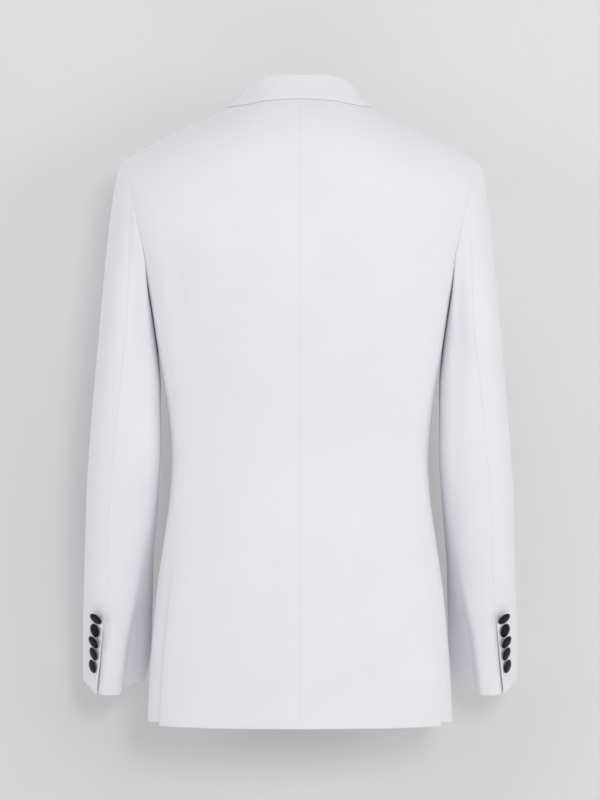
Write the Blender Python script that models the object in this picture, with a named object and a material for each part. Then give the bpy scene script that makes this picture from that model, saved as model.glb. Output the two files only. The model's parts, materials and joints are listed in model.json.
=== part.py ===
"""White tuxedo jacket, worn shape with no wearer. Metres, +Z up, the front faces -Y.

The origin is the middle of the neck opening, level with the nape seam. The wearer's left
is +X. Sizes below are in millimetres and every wall is drawn from its outside face inwards.
"""

from collections import namedtuple
from math import acos, asin, copysign, cos, pi, radians, sin

import bmesh
import bpy
from mathutils import Vector

MM = 0.001

CLOTH = 2.0                 # thickness of every cloth wall
SEAM_HALF = 0.15            # each panel stops this far short of a seam
LAID_GAP = 0.35             # air under a piece that lies on another

HEM = -749.0                # level of the hem
VENT_TOP = -550.0           # top of the two side vents
BREAK = -430.0              # level of the front button, where the lapels start to roll
RIDGE = 5.0                 # the shoulder line lies in this plane
SHOULDER_ROUND = 85.0       # height over which the body curves up to the shoulder line
SECTION_POWER = 0.65        # under 1 flattens the back and the chest of the oval sections

NECK_HALF_WIDTH = 73.0      # from the middle to where shoulder seam and neck seam meet
NECK_BACK_REACH = 65.0      # from the shoulder line back to the nape
NECK_HOLLOW = -2.5          # the front's neck edge bows out this much beside the throat

UNDERLAP_DEG = 10.0         # side panel carried on behind the back panel in the vent
VENT_STEP = 4.5             # the side panel stands this far behind the back panel's face
BACK_HEM_DIP = 3.5          # the back's hem hangs this much lower at the vent
SIDE_HEM_LIFT = 1.0         # the side panel's hem is this much higher there
SIDE_HEM_DIP = 4.0          # and this much lower half-way to the front

FRONT_TUCK = 6.0            # the right front lies this far behind the left front
TUCK_SPAN = (58.0, 18.0)    # it moves in between these distances from the middle
TUCK_LEVELS = (-250.0, -370.0)

# rows and columns of the cloth grids
VENT_ROWS = 4
SEAM_ROWS = 8
BACK_SHOULDER_COLUMNS = 6
FRONT_COLUMNS = 8
LAPEL_ROWS = 12
LAPEL_COLUMNS = (3, 3)      # from the roll line to the notch, and on to the peak
COLLAR_COLUMNS = (6, 6)     # from the centre back to the shoulder, and on to the gorge
POCKET_COLUMNS = 8

WHITE = (0.90, 0.90, 0.92)
BLACK = (0.012, 0.010, 0.011)

# half sections of the body by level: widest half width, depth behind and before the centre
BodyRow = namedtuple("BodyRow", "z half_width back front centre")
BODY = (
    BodyRow(-760.0, 186.0, 119.0, 141.0, 0.0),
    BodyRow(-700.0, 183.0, 117.0, 140.0, 0.0),
    BodyRow(-640.0, 178.5, 114.0, 137.0, 0.0),
    BodyRow(-585.0, 173.0, 109.0, 134.0, 0.0),
    BodyRow(-523.0, 164.0, 101.0, 130.0, -1.0),
    BodyRow(-480.0, 158.8, 95.0, 127.0, -3.0),
    BodyRow(-430.0, 156.9, 91.0, 125.0, -4.0),
    BodyRow(-370.0, 162.3, 93.0, 124.0, -2.0),
    BodyRow(-309.0, 171.2, 100.0, 123.0, 1.0),
    BodyRow(-240.0, 182.0, 108.0, 121.0, 4.0),
    BodyRow(-200.0, 193.0, 111.0, 117.0, 5.0),
    BodyRow(-165.0, 206.0, 112.0, 111.0, 5.0),
    BodyRow(-120.0, 215.0, 111.0, 101.0, 5.0),
    BodyRow(-65.0, 221.5, 105.0, 90.0, 5.0),
    BodyRow(0.0, 225.0, 96.0, 78.0, 5.0),
    BodyRow(40.0, 227.0, 92.0, 72.0, 5.0),
)

# the shoulder line from the middle outwards; inside the neck it only guides the curves
ShoulderRow = namedtuple("ShoulderRow", "x z")
SHOULDER = (
    ShoulderRow(-40.0, 15.0),
    ShoulderRow(0.0, 21.0),
    ShoulderRow(40.0, 15.0),
    ShoulderRow(70.0, 1.0),
    ShoulderRow(95.0, -11.5),
    ShoulderRow(116.0, -21.0),
    ShoulderRow(146.0, -35.0),
    ShoulderRow(175.0, -49.5),
    ShoulderRow(204.0, -64.5),
    ShoulderRow(232.0, -79.5),
)

# the two seams of the side panel, as angles from the centre back
SideSeamRow = namedtuple("SideSeamRow", "z to_back to_front")
SIDE_SEAMS = (
    SideSeamRow(HEM, 65.0, 113.0),
    SideSeamRow(VENT_TOP, 63.5, 113.5),
    SideSeamRow(-430.0, 65.0, 114.0),
    SideSeamRow(-310.0, 68.0, 111.5),
    SideSeamRow(-212.0, 75.0, 108.0),
)

# the armhole seam from the shoulder point round the back, under the arm and up the front
ArmholeRow = namedtuple("ArmholeRow", "angle z")
ARMHOLE = (
    ArmholeRow(79.6, -71.0),
    ArmholeRow(72.0, -99.0),
    ArmholeRow(69.4, -129.0),
    ArmholeRow(68.2, -159.0),
    ArmholeRow(70.4, -187.0),
    ArmholeRow(75.0, -209.0),
    ArmholeRow(82.0, -228.0),
    ArmholeRow(90.0, -238.0),
    ArmholeRow(99.0, -234.0),
    ArmholeRow(108.0, -217.0),
    ArmholeRow(115.0, -190.0),
    ArmholeRow(119.0, -162.0),
    ArmholeRow(116.0, -130.0),
    ArmholeRow(109.5, -100.0),
    ArmholeRow(100.4, -71.0),
)
ELBOW_ROW, BACK_SIDE_ROW, SIDE_FRONT_ROW, FRONT_SLEEVE_ROW = 2, 5, 9, 10
ARMHOLE_STEPS = {"cap_back": 5, "back": 4, "side": 6, "front": 2, "cap_front": 7}

# the front edge of the left front: the rounded quarter, then the roll line of the lapel
EdgeRow = namedtuple("EdgeRow", "z x")
QUARTER = (
    EdgeRow(-764.0, 124.0),
    EdgeRow(-761.0, 102.0),
    EdgeRow(-751.0, 83.0),
    EdgeRow(-733.0, 67.0),
    EdgeRow(-704.0, 52.0),
    EdgeRow(-664.0, 37.0),
    EdgeRow(-615.0, 21.0),
    EdgeRow(-560.0, 5.0),
    EdgeRow(-497.0, -8.5),
    EdgeRow(BREAK, -15.0),
)
ROLL_LINE = (
    EdgeRow(BREAK, -15.0),
    EdgeRow(-390.0, -7.5),
    EdgeRow(-330.0, 5.0),
    EdgeRow(-230.0, 27.0),
    EdgeRow(-130.0, 49.0),
    EdgeRow(-98.0, 56.0),
    EdgeRow(-60.0, 64.0),
    EdgeRow(-30.0, 71.0),
)
LAPEL_TOP = -98.0           # the lapel meets the collar at this level of the roll line
LAPEL_EDGE = (
    EdgeRow(-424.0, -9.5),
    EdgeRow(-400.0, 6.0),
    EdgeRow(-350.0, 38.0),
    EdgeRow(-300.0, 64.0),
    EdgeRow(-250.0, 86.0),
    EdgeRow(-200.0, 104.0),
    EdgeRow(-150.0, 119.0),
    EdgeRow(-105.0, 132.0),
    EdgeRow(-72.0, 141.0),
)
NOTCH = EdgeRow(-84.0, 101.0)
LAPEL_GAP = 0.9             # air between the front and the lapel along the roll line
LAPEL_RISE = 2.6            # the lapel's body stands this far off the front
LAPEL_RISE_AT = 34.0        # reached this far from the roll line
LAPEL_PRESSED = 80.0        # and this far above the button

# the left sleeve by level: extent across and fore and aft, the elbow seam's angle, the angle
# of the soft crease on the inner side, and how flat the cloth lies on both sides of them
SleeveRow = namedtuple("SleeveRow", "z outer inner back front elbow tilt crease outer_flat inner_flat")
SLEEVE = (
    SleeveRow(-300.0, 247.0, 174.3, 70.0, -70.0, -2.0, 0.00, -80.0, 0.0, 0.0),
    SleeveRow(-340.0, 250.5, 171.4, 66.0, -63.0, 4.0, 0.01, -80.0, 0.0, 0.0),
    SleeveRow(-385.0, 254.5, 171.2, 63.0, -56.0, 8.0, 0.02, -80.0, 0.0, 0.0),
    SleeveRow(-430.0, 258.0, 170.8, 58.0, -53.0, 11.5, 0.04, -80.0, 0.0, 0.0),
    SleeveRow(-475.0, 261.5, 173.3, 50.0, -56.0, 13.7, 0.07, -80.0, 0.0, 0.0),
    SleeveRow(-520.0, 263.5, 177.1, 41.0, -62.0, 13.7, 0.11, -80.0, 0.0, 0.0),
    SleeveRow(-563.0, 265.5, 181.0, 32.0, -69.0, 13.1, 0.16, -72.0, 0.0, 0.3),
    SleeveRow(-605.0, 267.5, 182.5, 24.0, -76.0, 13.9, 0.20, -57.0, 0.0, 0.7),
    SleeveRow(-641.0, 269.5, 184.2, 16.0, -83.0, 19.0, 0.24, -41.0, 0.4, 0.9),
    SleeveRow(-677.0, 270.5, 186.0, 9.0, -90.0, 23.8, 0.27, -29.0, 0.8, 0.9),
    SleeveRow(-714.5, 271.0, 192.8, 2.0, -98.0, 28.1, 0.24, -22.0, 1.0, 0.9),
)
INNER_FLAT_END = -92.0      # angle at which the flat inner side turns to the front
CUFF_VENT_ROWS = 3          # open rows at the bottom of the elbow seam
CUFF_VENT_STEP = 4.4        # the under sleeve's underlap stands this far in
CUFF_UNDERLAP_DEG = 17.0
FRONT_SEAM_DEG = 206.0
CAP_SHARES = (0.0, 0.05, 0.13, 0.25, 0.41, 0.6, 0.8)

BUTTON_SIDES = 16
CUFF_BUTTON_RADIUS = 8.6
FRONT_BUTTON_RADIUS = 10.0
BUTTON_DEPTH = 3.0
SHANK_RADIUS = 1.6

# the five buttons of the left cuff: place on the sleeve, and which way each face looks
ButtonRow = namedtuple("ButtonRow", "z turn out tip")
CUFF_BUTTONS = (
    ButtonRow(-619.3, 26.5, 40.6, 37.8),
    ButtonRow(-635.6, 32.5, 45.9, 12.0),
    ButtonRow(-649.3, 32.7, 50.3, 24.8),
    ButtonRow(-664.2, 34.6, 56.4, 16.0),
    ButtonRow(-680.9, 38.1, 57.8, 11.0),
)
BUTTON_SEAT = 0.6           # least room between a cuff button's rim and the sleeve
CUFF_SHANK_GAP = 0.7        # and between its shank and the sleeve, which bulges beside the crease

POCKET_LEVEL = -548.0
POCKET_SPAN = (62.0, 150.0)
POCKET_DEPTH = 11.0
WELT_SPAN = (84.0, 160.0)
WELT_LEVELS = (-226.0, -218.0)
WELT_DEPTH = 22.0
TRIM = 1.2                  # thickness of pocket jets and welt
TRIM_GAP = 0.7              # air under them


# ---- curves and surfaces of the body ----

def spline(rows, column, at, key="z"):
    """Smooth value of one column of a table at a value of its key column."""
    rows = sorted(rows, key=lambda row: getattr(row, key))
    keys = [getattr(row, key) for row in rows]
    values = [getattr(row, column) for row in rows]
    last = len(rows) - 1
    if at <= keys[0] or at >= keys[-1]:
        near, far = (0, 1) if at <= keys[0] else (last, last - 1)
        slope = (values[far] - values[near]) / (keys[far] - keys[near])
        return values[near] + slope * (at - keys[near])
    index = max(i for i in range(last) if keys[i] <= at)
    span = keys[index + 1] - keys[index]
    share = (at - keys[index]) / span

    def slope_at(i):
        low, high = max(i - 1, 0), min(i + 1, last)
        return (values[high] - values[low]) / (keys[high] - keys[low])

    start, end = values[index], values[index + 1]
    rise, fall = slope_at(index) * span, slope_at(index + 1) * span
    return (start * (2 * share ** 3 - 3 * share ** 2 + 1) + rise * (share ** 3 - 2 * share ** 2 + share)
            + end * (3 * share ** 2 - 2 * share ** 3) + fall * (share ** 3 - share ** 2))


def smooth(share):
    share = min(max(share, 0.0), 1.0)
    return share * share * (3.0 - 2.0 * share)


def lerp(start, end, share):
    return start + (end - start) * share


def shoulder_height(x):
    return spline(SHOULDER, "z", abs(x), key="x")


def drop_to_fall(drop):
    """Height lost after going this far down over the rounded shoulder."""
    turned = SHOULDER_ROUND * pi / 2
    if drop < turned:
        return SHOULDER_ROUND * (1.0 - cos(drop / SHOULDER_ROUND))
    return SHOULDER_ROUND + drop - turned


def drop_at(angle, z):
    """Distance down from the shoulder line to a level, at an angle from the centre back."""
    x = spline(BODY, "half_width", z) * sin(angle)
    fall = max(shoulder_height(x) - z, 0.0)
    if fall < SHOULDER_ROUND:
        return SHOULDER_ROUND * acos(1.0 - fall / SHOULDER_ROUND)
    return fall - SHOULDER_ROUND + SHOULDER_ROUND * pi / 2


def angle_at(x, z, front):
    """Angle from the centre back of a place on the body, by its distance from the middle."""
    angle = asin(max(-1.0, min(1.0, x / spline(BODY, "half_width", z))))
    return pi - angle if front else angle


def body_point(angle, drop):
    """Point on the outside of the body: angle from the centre back, drop from the shoulder."""
    z = -drop_to_fall(drop)
    for _ in range(8):
        x = spline(BODY, "half_width", z) * sin(angle)
        z = shoulder_height(x) - drop_to_fall(drop)
    depth = spline(BODY, "back" if cos(angle) > 0 else "front", z)
    y = spline(BODY, "centre", z) + depth * copysign(abs(cos(angle)) ** SECTION_POWER, cos(angle))
    rounding = sin(min(drop / SHOULDER_ROUND, pi / 2))
    return Vector((x, RIDGE + (y - RIDGE) * rounding, z))


def body_normal(angle, drop):
    """Outward direction of the body there; straight up from the shoulder line itself."""
    if drop < 1.0:
        x = body_point(angle, 0.0).x
        slope = (shoulder_height(x + 1.0) - shoulder_height(x - 1.0)) / 2.0
        return Vector((-slope, 0.0, 1.0)).normalized()
    across = body_point(angle + 0.01, drop) - body_point(angle - 0.01, drop)
    down = body_point(angle, drop + 0.5) - body_point(angle, drop - 0.5)
    return across.cross(down).normalized()


def place_on_body(x, z, front):
    """Angle and drop of a point of the body given by its distance from the middle and level."""
    angle = angle_at(x, z, front)
    return angle, drop_at(angle, z)


def patch(bottom, top, left, right):
    """Rows of (angle, drop) pairs that fill four edges, each a list of such pairs."""
    columns, rows = len(bottom) - 1, len(left) - 1
    corners = (bottom[0], bottom[-1], top[0], top[-1])
    grid = []
    for j in range(rows + 1):
        v = j / rows
        row = []
        for i in range(columns + 1):
            u = i / columns
            row.append(tuple(
                (1 - v) * bottom[i][k] + v * top[i][k] + (1 - u) * left[j][k] + u * right[j][k]
                - (1 - u) * (1 - v) * corners[0][k] - u * (1 - v) * corners[1][k]
                - (1 - u) * v * corners[2][k] - u * v * corners[3][k]
                for k in range(2)))
        grid.append(row)
    return grid


# ---- cloth walls ----

def trim_edges(points, left=0.0, right=0.0, bottom=0.0, top=0.0):
    """Pull the outer rows and columns of a grid of points back along the cloth."""
    def pull(edge, inner, amount):
        step = inner - edge
        return edge + step * (amount / max(step.length, amount))

    rows, columns = len(points), len(points[0])
    moved = [list(row) for row in points]
    for j in range(rows):
        if left:
            moved[j][0] = pull(moved[j][0], moved[j][1], left)
        if right:
            moved[j][-1] = pull(moved[j][-1], moved[j][-2], right)
    for i in range(columns):
        if bottom:
            moved[0][i] = pull(moved[0][i], moved[1][i], bottom)
        if top:
            moved[-1][i] = pull(moved[-1][i], moved[-2][i], top)
    return moved


def shift(points, directions, distance):
    return [[point + direction * distance for point, direction in zip(*rows)]
            for rows in zip(points, directions)]


def mirror(points):
    return [[Vector((-point.x, point.y, point.z)) for point in row] for row in points]


def cloth_wall(name, outside, inwards, material, thickness=CLOTH, skip=()):
    """A wall from a grid of outside points, each with the direction of its thickness."""
    mesh = bpy.data.meshes.new(name)
    shape = bmesh.new()
    place = shape.verts.layers.int.new("place")
    columns = len(outside[0])
    verts = {}
    for j in range(len(outside) - 1):
        for i in range(columns - 1):
            if (j, i) in skip:
                continue
            corners = ((j, i), (j, i + 1), (j + 1, i + 1), (j + 1, i))
            for corner in corners:
                if corner not in verts:
                    verts[corner] = shape.verts.new(outside[corner[0]][corner[1]] * MM)
                    verts[corner][place] = corner[0] * columns + corner[1]
            shape.faces.new([verts[corner] for corner in corners])
    made = bmesh.ops.extrude_face_region(shape, geom=shape.faces[:], use_keep_orig=True)
    for item in made["geom"]:
        if isinstance(item, bmesh.types.BMVert):
            j, i = divmod(item[place], columns)
            item.co += inwards[j][i] * (thickness * MM)
    bmesh.ops.recalc_face_normals(shape, faces=shape.faces[:])
    shape.to_mesh(mesh)
    shape.free()
    return add_object(name, mesh, material)


def add_object(name, mesh, material):
    mesh.shade_smooth()
    mesh.set_sharp_from_angle(angle=radians(40.0))
    mesh.materials.append(material)
    piece = bpy.data.objects.new(name, mesh)
    bpy.context.collection.objects.link(piece)
    return piece


def both_sides(name, outside, inwards, material, **options):
    cloth_wall(name + "_left", outside, inwards, material(name + "_left"), **options)
    cloth_wall(name + "_right", mirror(outside), mirror(inwards), material(name + "_right"), **options)


def principled(name, colour, roughness):
    material = bpy.data.materials.new(name)
    material.use_nodes = True
    shader = material.node_tree.nodes["Principled BSDF"]
    shader.inputs["Base Color"].default_value = (*colour, 1.0)
    shader.inputs["Roughness"].default_value = roughness
    shader.inputs["Metallic"].default_value = 0.0
    return material


def wool(name):
    return principled(name + "_wool", WHITE, 0.85)


def satin(name):
    return principled(name + "_satin", BLACK, 0.45)


# ---- the armhole, shared by the body and the sleeve ----

def armhole_loop():
    """The armhole as (angle, drop) pairs, and the place in that list of each seam that ends on it."""
    StepRow = namedtuple("StepRow", "step angle z")
    rows = [StepRow(i, row.angle, row.z) for i, row in enumerate(ARMHOLE)]
    ends = (0, ELBOW_ROW, BACK_SIDE_ROW, SIDE_FRONT_ROW, FRONT_SLEEVE_ROW, len(ARMHOLE) - 1)
    loop, marks = [], {}
    for part, (start, end) in zip(ARMHOLE_STEPS, zip(ends, ends[1:])):
        marks[part] = len(loop)
        for k in range(ARMHOLE_STEPS[part]):
            step = lerp(start, end, k / ARMHOLE_STEPS[part])
            angle = radians(spline(rows, "angle", step, key="step"))
            loop.append((angle, drop_at(angle, spline(rows, "z", step, key="step"))))
    marks["end"] = len(loop)
    top = radians(ARMHOLE[0].angle)
    loop[0] = (top, 0.0)
    loop.append((pi - top, 0.0))
    return loop, marks


def round_point(z, turn):
    outer, inner = spline(SLEEVE, "outer", z), spline(SLEEVE, "inner", z)
    back, front = spline(SLEEVE, "back", z), spline(SLEEVE, "front", z)
    x = (outer + inner) / 2 + (outer - inner) / 2 * copysign(abs(sin(turn)) ** 0.92, sin(turn))
    reach = (back - front) / 2 * copysign(abs(cos(turn)) ** 0.92, cos(turn))
    return Vector((x, (back + front) / 2 + reach, z - spline(SLEEVE, "tilt", z) * reach))


def ring_point(z, turn):
    """Point on the outside of the left sleeve; the turn runs from the back outwards.

    The rounded section is pressed towards straight lines beside the vent and on the inner side.
    """
    point = round_point(z, turn)
    flats = (("outer_flat", spline(SLEEVE, "elbow", z), 90.0),
             ("inner_flat", spline(SLEEVE, "crease", z), INNER_FLAT_END))
    for column, start, end in flats:
        start, end = radians(start), radians(end)
        share = (turn - start) / (end - start)
        if 0.0 < share < 1.0:
            straight = round_point(z, start).lerp(round_point(z, end), share)
            point = point.lerp(straight, min(max(spline(SLEEVE, column, z), 0.0), 1.0))
    return point


def sleeve_turn(index, marks, z):
    """Turn of one lengthwise line of the sleeve at a level below the armhole."""
    elbow, front, top = radians(spline(SLEEVE, "elbow", z)), radians(FRONT_SEAM_DEG - 360), pi / 2
    if index <= marks["back"]:
        return lerp(top, elbow, index / marks["back"])
    if index <= marks["cap_front"]:
        return lerp(elbow, front, (index - marks["back"]) / (marks["cap_front"] - marks["back"]))
    return lerp(front, top - 2 * pi,
                (index - marks["cap_front"]) / (marks["end"] - marks["cap_front"]))


def sleeve_grid(loop, marks):
    """Rows of outside points round the whole left sleeve, from the armhole to the cuff."""
    count = marks["end"]
    starts = [body_point(*loop[i]) for i in range(count)]
    low, high = min(p.z for p in starts), max(p.z for p in starts)
    grid = [[] for _ in range(len(CAP_SHARES) + len(SLEEVE))]
    for i, start in enumerate(starts):
        end = ring_point(SLEEVE[0].z, sleeve_turn(i, marks, SLEEVE[0].z))
        after = ring_point(SLEEVE[1].z, sleeve_turn(i, marks, SLEEVE[1].z))
        length = (end - start).length
        height = (start.z - low) / (high - low)
        leave = Vector((0.12 + 0.45 * height ** 2, 0.002 * start.y * (1 - height), -0.77)).normalized()
        arrive = (after - end).normalized()
        for j, t in enumerate(CAP_SHARES):
            grid[j].append(start * (2 * t ** 3 - 3 * t ** 2 + 1) + end * (3 * t ** 2 - 2 * t ** 3)
                           + leave * (0.30 * length * (t ** 3 - 2 * t ** 2 + t))
                           + arrive * (length * (t ** 3 - t ** 2)))
        for j, row in enumerate(SLEEVE):
            grid[len(CAP_SHARES) + j].append(ring_point(row.z, sleeve_turn(i, marks, row.z)))
    return grid


def tube_normals(grid):
    """Outward directions of a tube whose rows run down and whose columns close round it."""
    normals = []
    last = len(grid) - 1
    for j, row in enumerate(grid):
        line = []
        for i in range(len(row)):
            across = row[(i + 1) % len(row)] - row[i - 1]
            down = grid[min(j + 1, last)][i] - grid[max(j - 1, 0)][i]
            line.append(down.cross(across).normalized())
        normals.append(line)
    return normals


def armhole_rims(loop, body_normals, sleeve_normals):
    """Thickness directions of both walls along the armhole.

    Where the sleeve carries on from the body the walls share a mitre; under the arm they
    fold back side by side and each keeps its own direction.
    """
    body_rim, sleeve_rim = [], []
    for i in range(len(loop)):
        body = body_normals[i]
        sleeve = sleeve_normals[i % len(sleeve_normals)]
        shared = -(body + sleeve).normalized()
        share = smooth((body.dot(sleeve) + 0.2) / 0.7)
        body_rim.append((-body).lerp(shared, share).normalized())
        sleeve_rim.append((-sleeve).lerp(shared, share).normalized())
    return body_rim, sleeve_rim


# ---- the body ----

def seam_levels(end_z):
    low = [lerp(HEM, VENT_TOP, k / VENT_ROWS) for k in range(VENT_ROWS)]
    return low + [lerp(VENT_TOP, end_z, k / SEAM_ROWS) for k in range(SEAM_ROWS + 1)]


def side_seam(column, mark_angle_z):
    """The seam between side panel and back or front, from the hem up to the armhole."""
    end_angle, end_z = mark_angle_z
    pairs = []
    for z in seam_levels(end_z):
        angle = radians(spline(SIDE_SEAMS, column, z))
        pairs.append((angle, drop_at(angle, z)))
    pairs[-1] = (radians(end_angle), drop_at(radians(end_angle), end_z))
    return pairs


def neck_pair(share):
    """Angle and drop of the neck seam, from the nape (0) to the shoulder seam (1)."""
    turn = share * pi / 2
    x, y = NECK_HALF_WIDTH * sin(turn), RIDGE + NECK_BACK_REACH * cos(turn)
    angle = angle_at(x, 0.0, False)
    full = spline(BODY, "centre", 0.0) + spline(BODY, "back", 0.0) * cos(angle) ** SECTION_POWER
    return angle, SHOULDER_ROUND * asin((y - RIDGE) / (full - RIDGE))


def shoulder_pairs(columns, front):
    top = radians(ARMHOLE[0].angle)
    outer_x = body_point(top, 0.0).x
    pairs = []
    for k in range(columns + 1):
        x = lerp(NECK_HALF_WIDTH, outer_x, k / columns)
        angle = angle_at(x, shoulder_height(x), front)
        pairs.append((angle, 0.0))
    pairs[-1] = (pi - top if front else top, 0.0)
    return pairs


def edge_pair(table, z):
    return place_on_body(spline(table, "x", z), z, True)


def front_neck_pair(share):
    """Angle and drop of the front's neck edge, from the shoulder seam (0) to the gorge (1)."""
    gorge = edge_pair(ROLL_LINE, LAPEL_TOP)
    drop = gorge[1] * share
    start, low = NECK_HALF_WIDTH, spline(ROLL_LINE, "x", LAPEL_TOP)
    x = lerp(start, low, share) - NECK_HOLLOW * sin(pi * share)
    return angle_at(x, shoulder_height(x) - drop_to_fall(drop), True), drop


def body_cloth(grid):
    points = [[body_point(*pair) for pair in row] for row in grid]
    inwards = [[-body_normal(*pair) for pair in row] for row in grid]
    return points, inwards


def set_armhole_rim(points, inwards, places, rims):
    """Turn the wall's thickness to the armhole's rim there and step clear of the sleeve."""
    for (j, i), rim in zip(places, rims):
        inwards[j][i] = rim
        points[j][i] = points[j][i] + rim * SEAM_HALF


def back_panels(loop, marks, rims):
    seam = side_seam("to_back", (ARMHOLE[BACK_SIDE_ROW].angle, ARMHOLE[BACK_SIDE_ROW].z))
    armhole = loop[marks["side"]::-1]
    right = seam + armhole[1:]
    nape = neck_pair(0.0)
    levels = seam_levels(ARMHOLE[BACK_SIDE_ROW].z)
    left = [(0.0, drop_at(0.0, z)) for z in levels]
    steps = len(armhole) - 1
    left += [(0.0, lerp(left[-1][1], nape[1], k / steps)) for k in range(1, steps + 1)]
    shoulder = shoulder_pairs(BACK_SHOULDER_COLUMNS, False)
    neck_columns = COLLAR_COLUMNS[0]
    top = [neck_pair(k / neck_columns) for k in range(neck_columns)] + shoulder
    columns = len(top) - 1
    hem_angles = [seam[0][0] * k / columns for k in range(columns + 1)]
    bottom = [(angle, drop_at(angle, HEM)) for angle in hem_angles]
    points, inwards = body_cloth(patch(bottom, top, left, right))
    for i, point in enumerate(points[0]):
        point.z -= BACK_HEM_DIP * (i / columns) ** 2
    first = len(seam) - 1
    places = [(first + k, columns) for k in range(steps + 1)]
    points = trim_edges(points, left=SEAM_HALF, right=SEAM_HALF, top=SEAM_HALF)
    set_armhole_rim(points, inwards, places, [rims[marks["side"] - k] for k in range(steps + 1)])
    both_sides("back", points, inwards, wool)


def side_panels(loop, marks, rims):
    left = side_seam("to_back", (ARMHOLE[BACK_SIDE_ROW].angle, ARMHOLE[BACK_SIDE_ROW].z))
    right = side_seam("to_front", (ARMHOLE[SIDE_FRONT_ROW].angle, ARMHOLE[SIDE_FRONT_ROW].z))
    top = loop[marks["side"]:marks["front"] + 1]
    columns = len(top) - 1
    angles = [lerp(left[0][0], right[0][0], k / columns) for k in range(columns + 1)]
    bottom = [(angle, drop_at(angle, HEM)) for angle in angles]
    grid = patch(bottom, top, left, right)
    points, inwards = body_cloth(grid)
    points = trim_edges(points, left=SEAM_HALF, right=SEAM_HALF, top=SEAM_HALF)
    places = [(len(grid) - 1, i) for i in range(columns + 1)]
    set_armhole_rim(points, inwards, places, rims[marks["side"]:marks["front"] + 1])

    # in the vent the panel steps in behind the back panel and carries on as an underlap
    skip = set()
    for j, row in enumerate(grid):
        lap = [(row[0][0] - radians(UNDERLAP_DEG) * share, row[0][1]) for share in (1.0, 0.5)]
        lap_points = [body_point(*pair) for pair in lap]
        lap_inwards = [-body_normal(*pair) for pair in lap]
        points[j] = lap_points + points[j]
        inwards[j] = lap_inwards + inwards[j]
        if j < VENT_ROWS:
            for i, share in enumerate((1.0, 1.0, 1.0, 0.35)):
                points[j][i] = points[j][i] + inwards[j][i] * (VENT_STEP * share)
        if j >= VENT_ROWS - 1:
            skip |= {(j, 0), (j, 1)}
    for i, point in enumerate(points[0]):
        share = max(0, i - 2) / columns
        point.z += SIDE_HEM_LIFT * (1.0 - share) - SIDE_HEM_DIP * sin(pi * share)
    both_sides("side", points, inwards, wool, skip=skip)


def tuck(points, inwards):
    """The right front, drawn on the left, moved in where it lies behind the left front."""
    moved = []
    for row, directions in zip(points, inwards):
        line = []
        for point, inward in zip(row, directions):
            across = smooth((TUCK_SPAN[0] - point.x) / (TUCK_SPAN[0] - TUCK_SPAN[1]))
            down = smooth((TUCK_LEVELS[0] - point.z) / (TUCK_LEVELS[0] - TUCK_LEVELS[1]))
            line.append(point + inward * (FRONT_TUCK * across * down))
        moved.append(line)
    return moved


def left_over_right(name, points, inwards, thickness=CLOTH):
    cloth_wall(name + "_left", points, inwards, wool(name + "_left"), thickness=thickness)
    cloth_wall(name + "_right", mirror(tuck(points, inwards)), mirror(inwards),
               wool(name + "_right"), thickness=thickness)


def front_panels(loop, marks, rims):
    seam = side_seam("to_front", (ARMHOLE[SIDE_FRONT_ROW].angle, ARMHOLE[SIDE_FRONT_ROW].z))
    armhole = loop[marks["front"]:]
    right = seam + armhole[1:]
    rows = len(right) - 1
    left = [place_on_body(row.x, row.z, True) for row in QUARTER]
    neck_rows = COLLAR_COLUMNS[1]
    roll_rows = rows - len(QUARTER) + 1 - neck_rows
    for k in range(1, roll_rows):
        left.append(edge_pair(ROLL_LINE, lerp(BREAK, LAPEL_TOP, k / roll_rows)))
    left += [front_neck_pair(1.0 - k / neck_rows) for k in range(neck_rows)]
    top = shoulder_pairs(FRONT_COLUMNS, True)
    left.append(top[0])
    bottom = []
    for k in range(FRONT_COLUMNS + 1):
        angle = lerp(left[0][0], seam[0][0], k / FRONT_COLUMNS)
        z = lerp(QUARTER[0].z, HEM, smooth(k / FRONT_COLUMNS))
        bottom.append((angle, drop_at(angle, z)))
    points, inwards = body_cloth(patch(bottom, top, left, right))
    first = len(seam) - 1
    places = [(first + k, FRONT_COLUMNS) for k in range(len(armhole))]
    points = trim_edges(points, left=SEAM_HALF, right=SEAM_HALF, top=SEAM_HALF)
    set_armhole_rim(points, inwards, places, rims[marks["front"]:])
    left_over_right("front", points, inwards)


def lapels():
    """Two walls that lie on the fronts, from the roll line out to the peak."""
    levels = [lerp(LAPEL_EDGE[0].z, LAPEL_TOP, k / LAPEL_ROWS) for k in range(LAPEL_ROWS + 1)]
    left = [edge_pair(ROLL_LINE, z) for z in levels]
    right = []
    for k in range(LAPEL_ROWS + 1):
        right.append(edge_pair(LAPEL_EDGE, lerp(LAPEL_EDGE[0].z, LAPEL_EDGE[-1].z, k / LAPEL_ROWS)))
    corner = place_on_body(NOTCH.x, NOTCH.z, True)
    inner, outer = LAPEL_COLUMNS
    top = [tuple(lerp(left[-1][n], corner[n], k / inner) for n in range(2)) for k in range(inner)]
    top += [tuple(lerp(corner[n], right[-1][n], k / outer) for n in range(2)) for k in range(outer + 1)]
    columns = inner + outer
    bottom = [tuple(lerp(left[0][n], right[0][n], k / columns) for n in range(2))
              for k in range(columns + 1)]
    points, inwards = body_cloth(patch(bottom, top, left, right))
    for row, directions in zip(points, inwards):
        start = row[0].copy()
        for i, inward in enumerate(directions):
            free = smooth((start.z - BREAK) / LAPEL_PRESSED)
            rise = (LAPEL_RISE - LAPEL_GAP) * free * smooth((row[i] - start).length / LAPEL_RISE_AT)
            row[i] = row[i] - inward * (CLOTH + LAPEL_GAP + rise)
    left_over_right("lapel", trim_edges(points, top=2 * SEAM_HALF), inwards)


# ---- the collar ----

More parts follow.
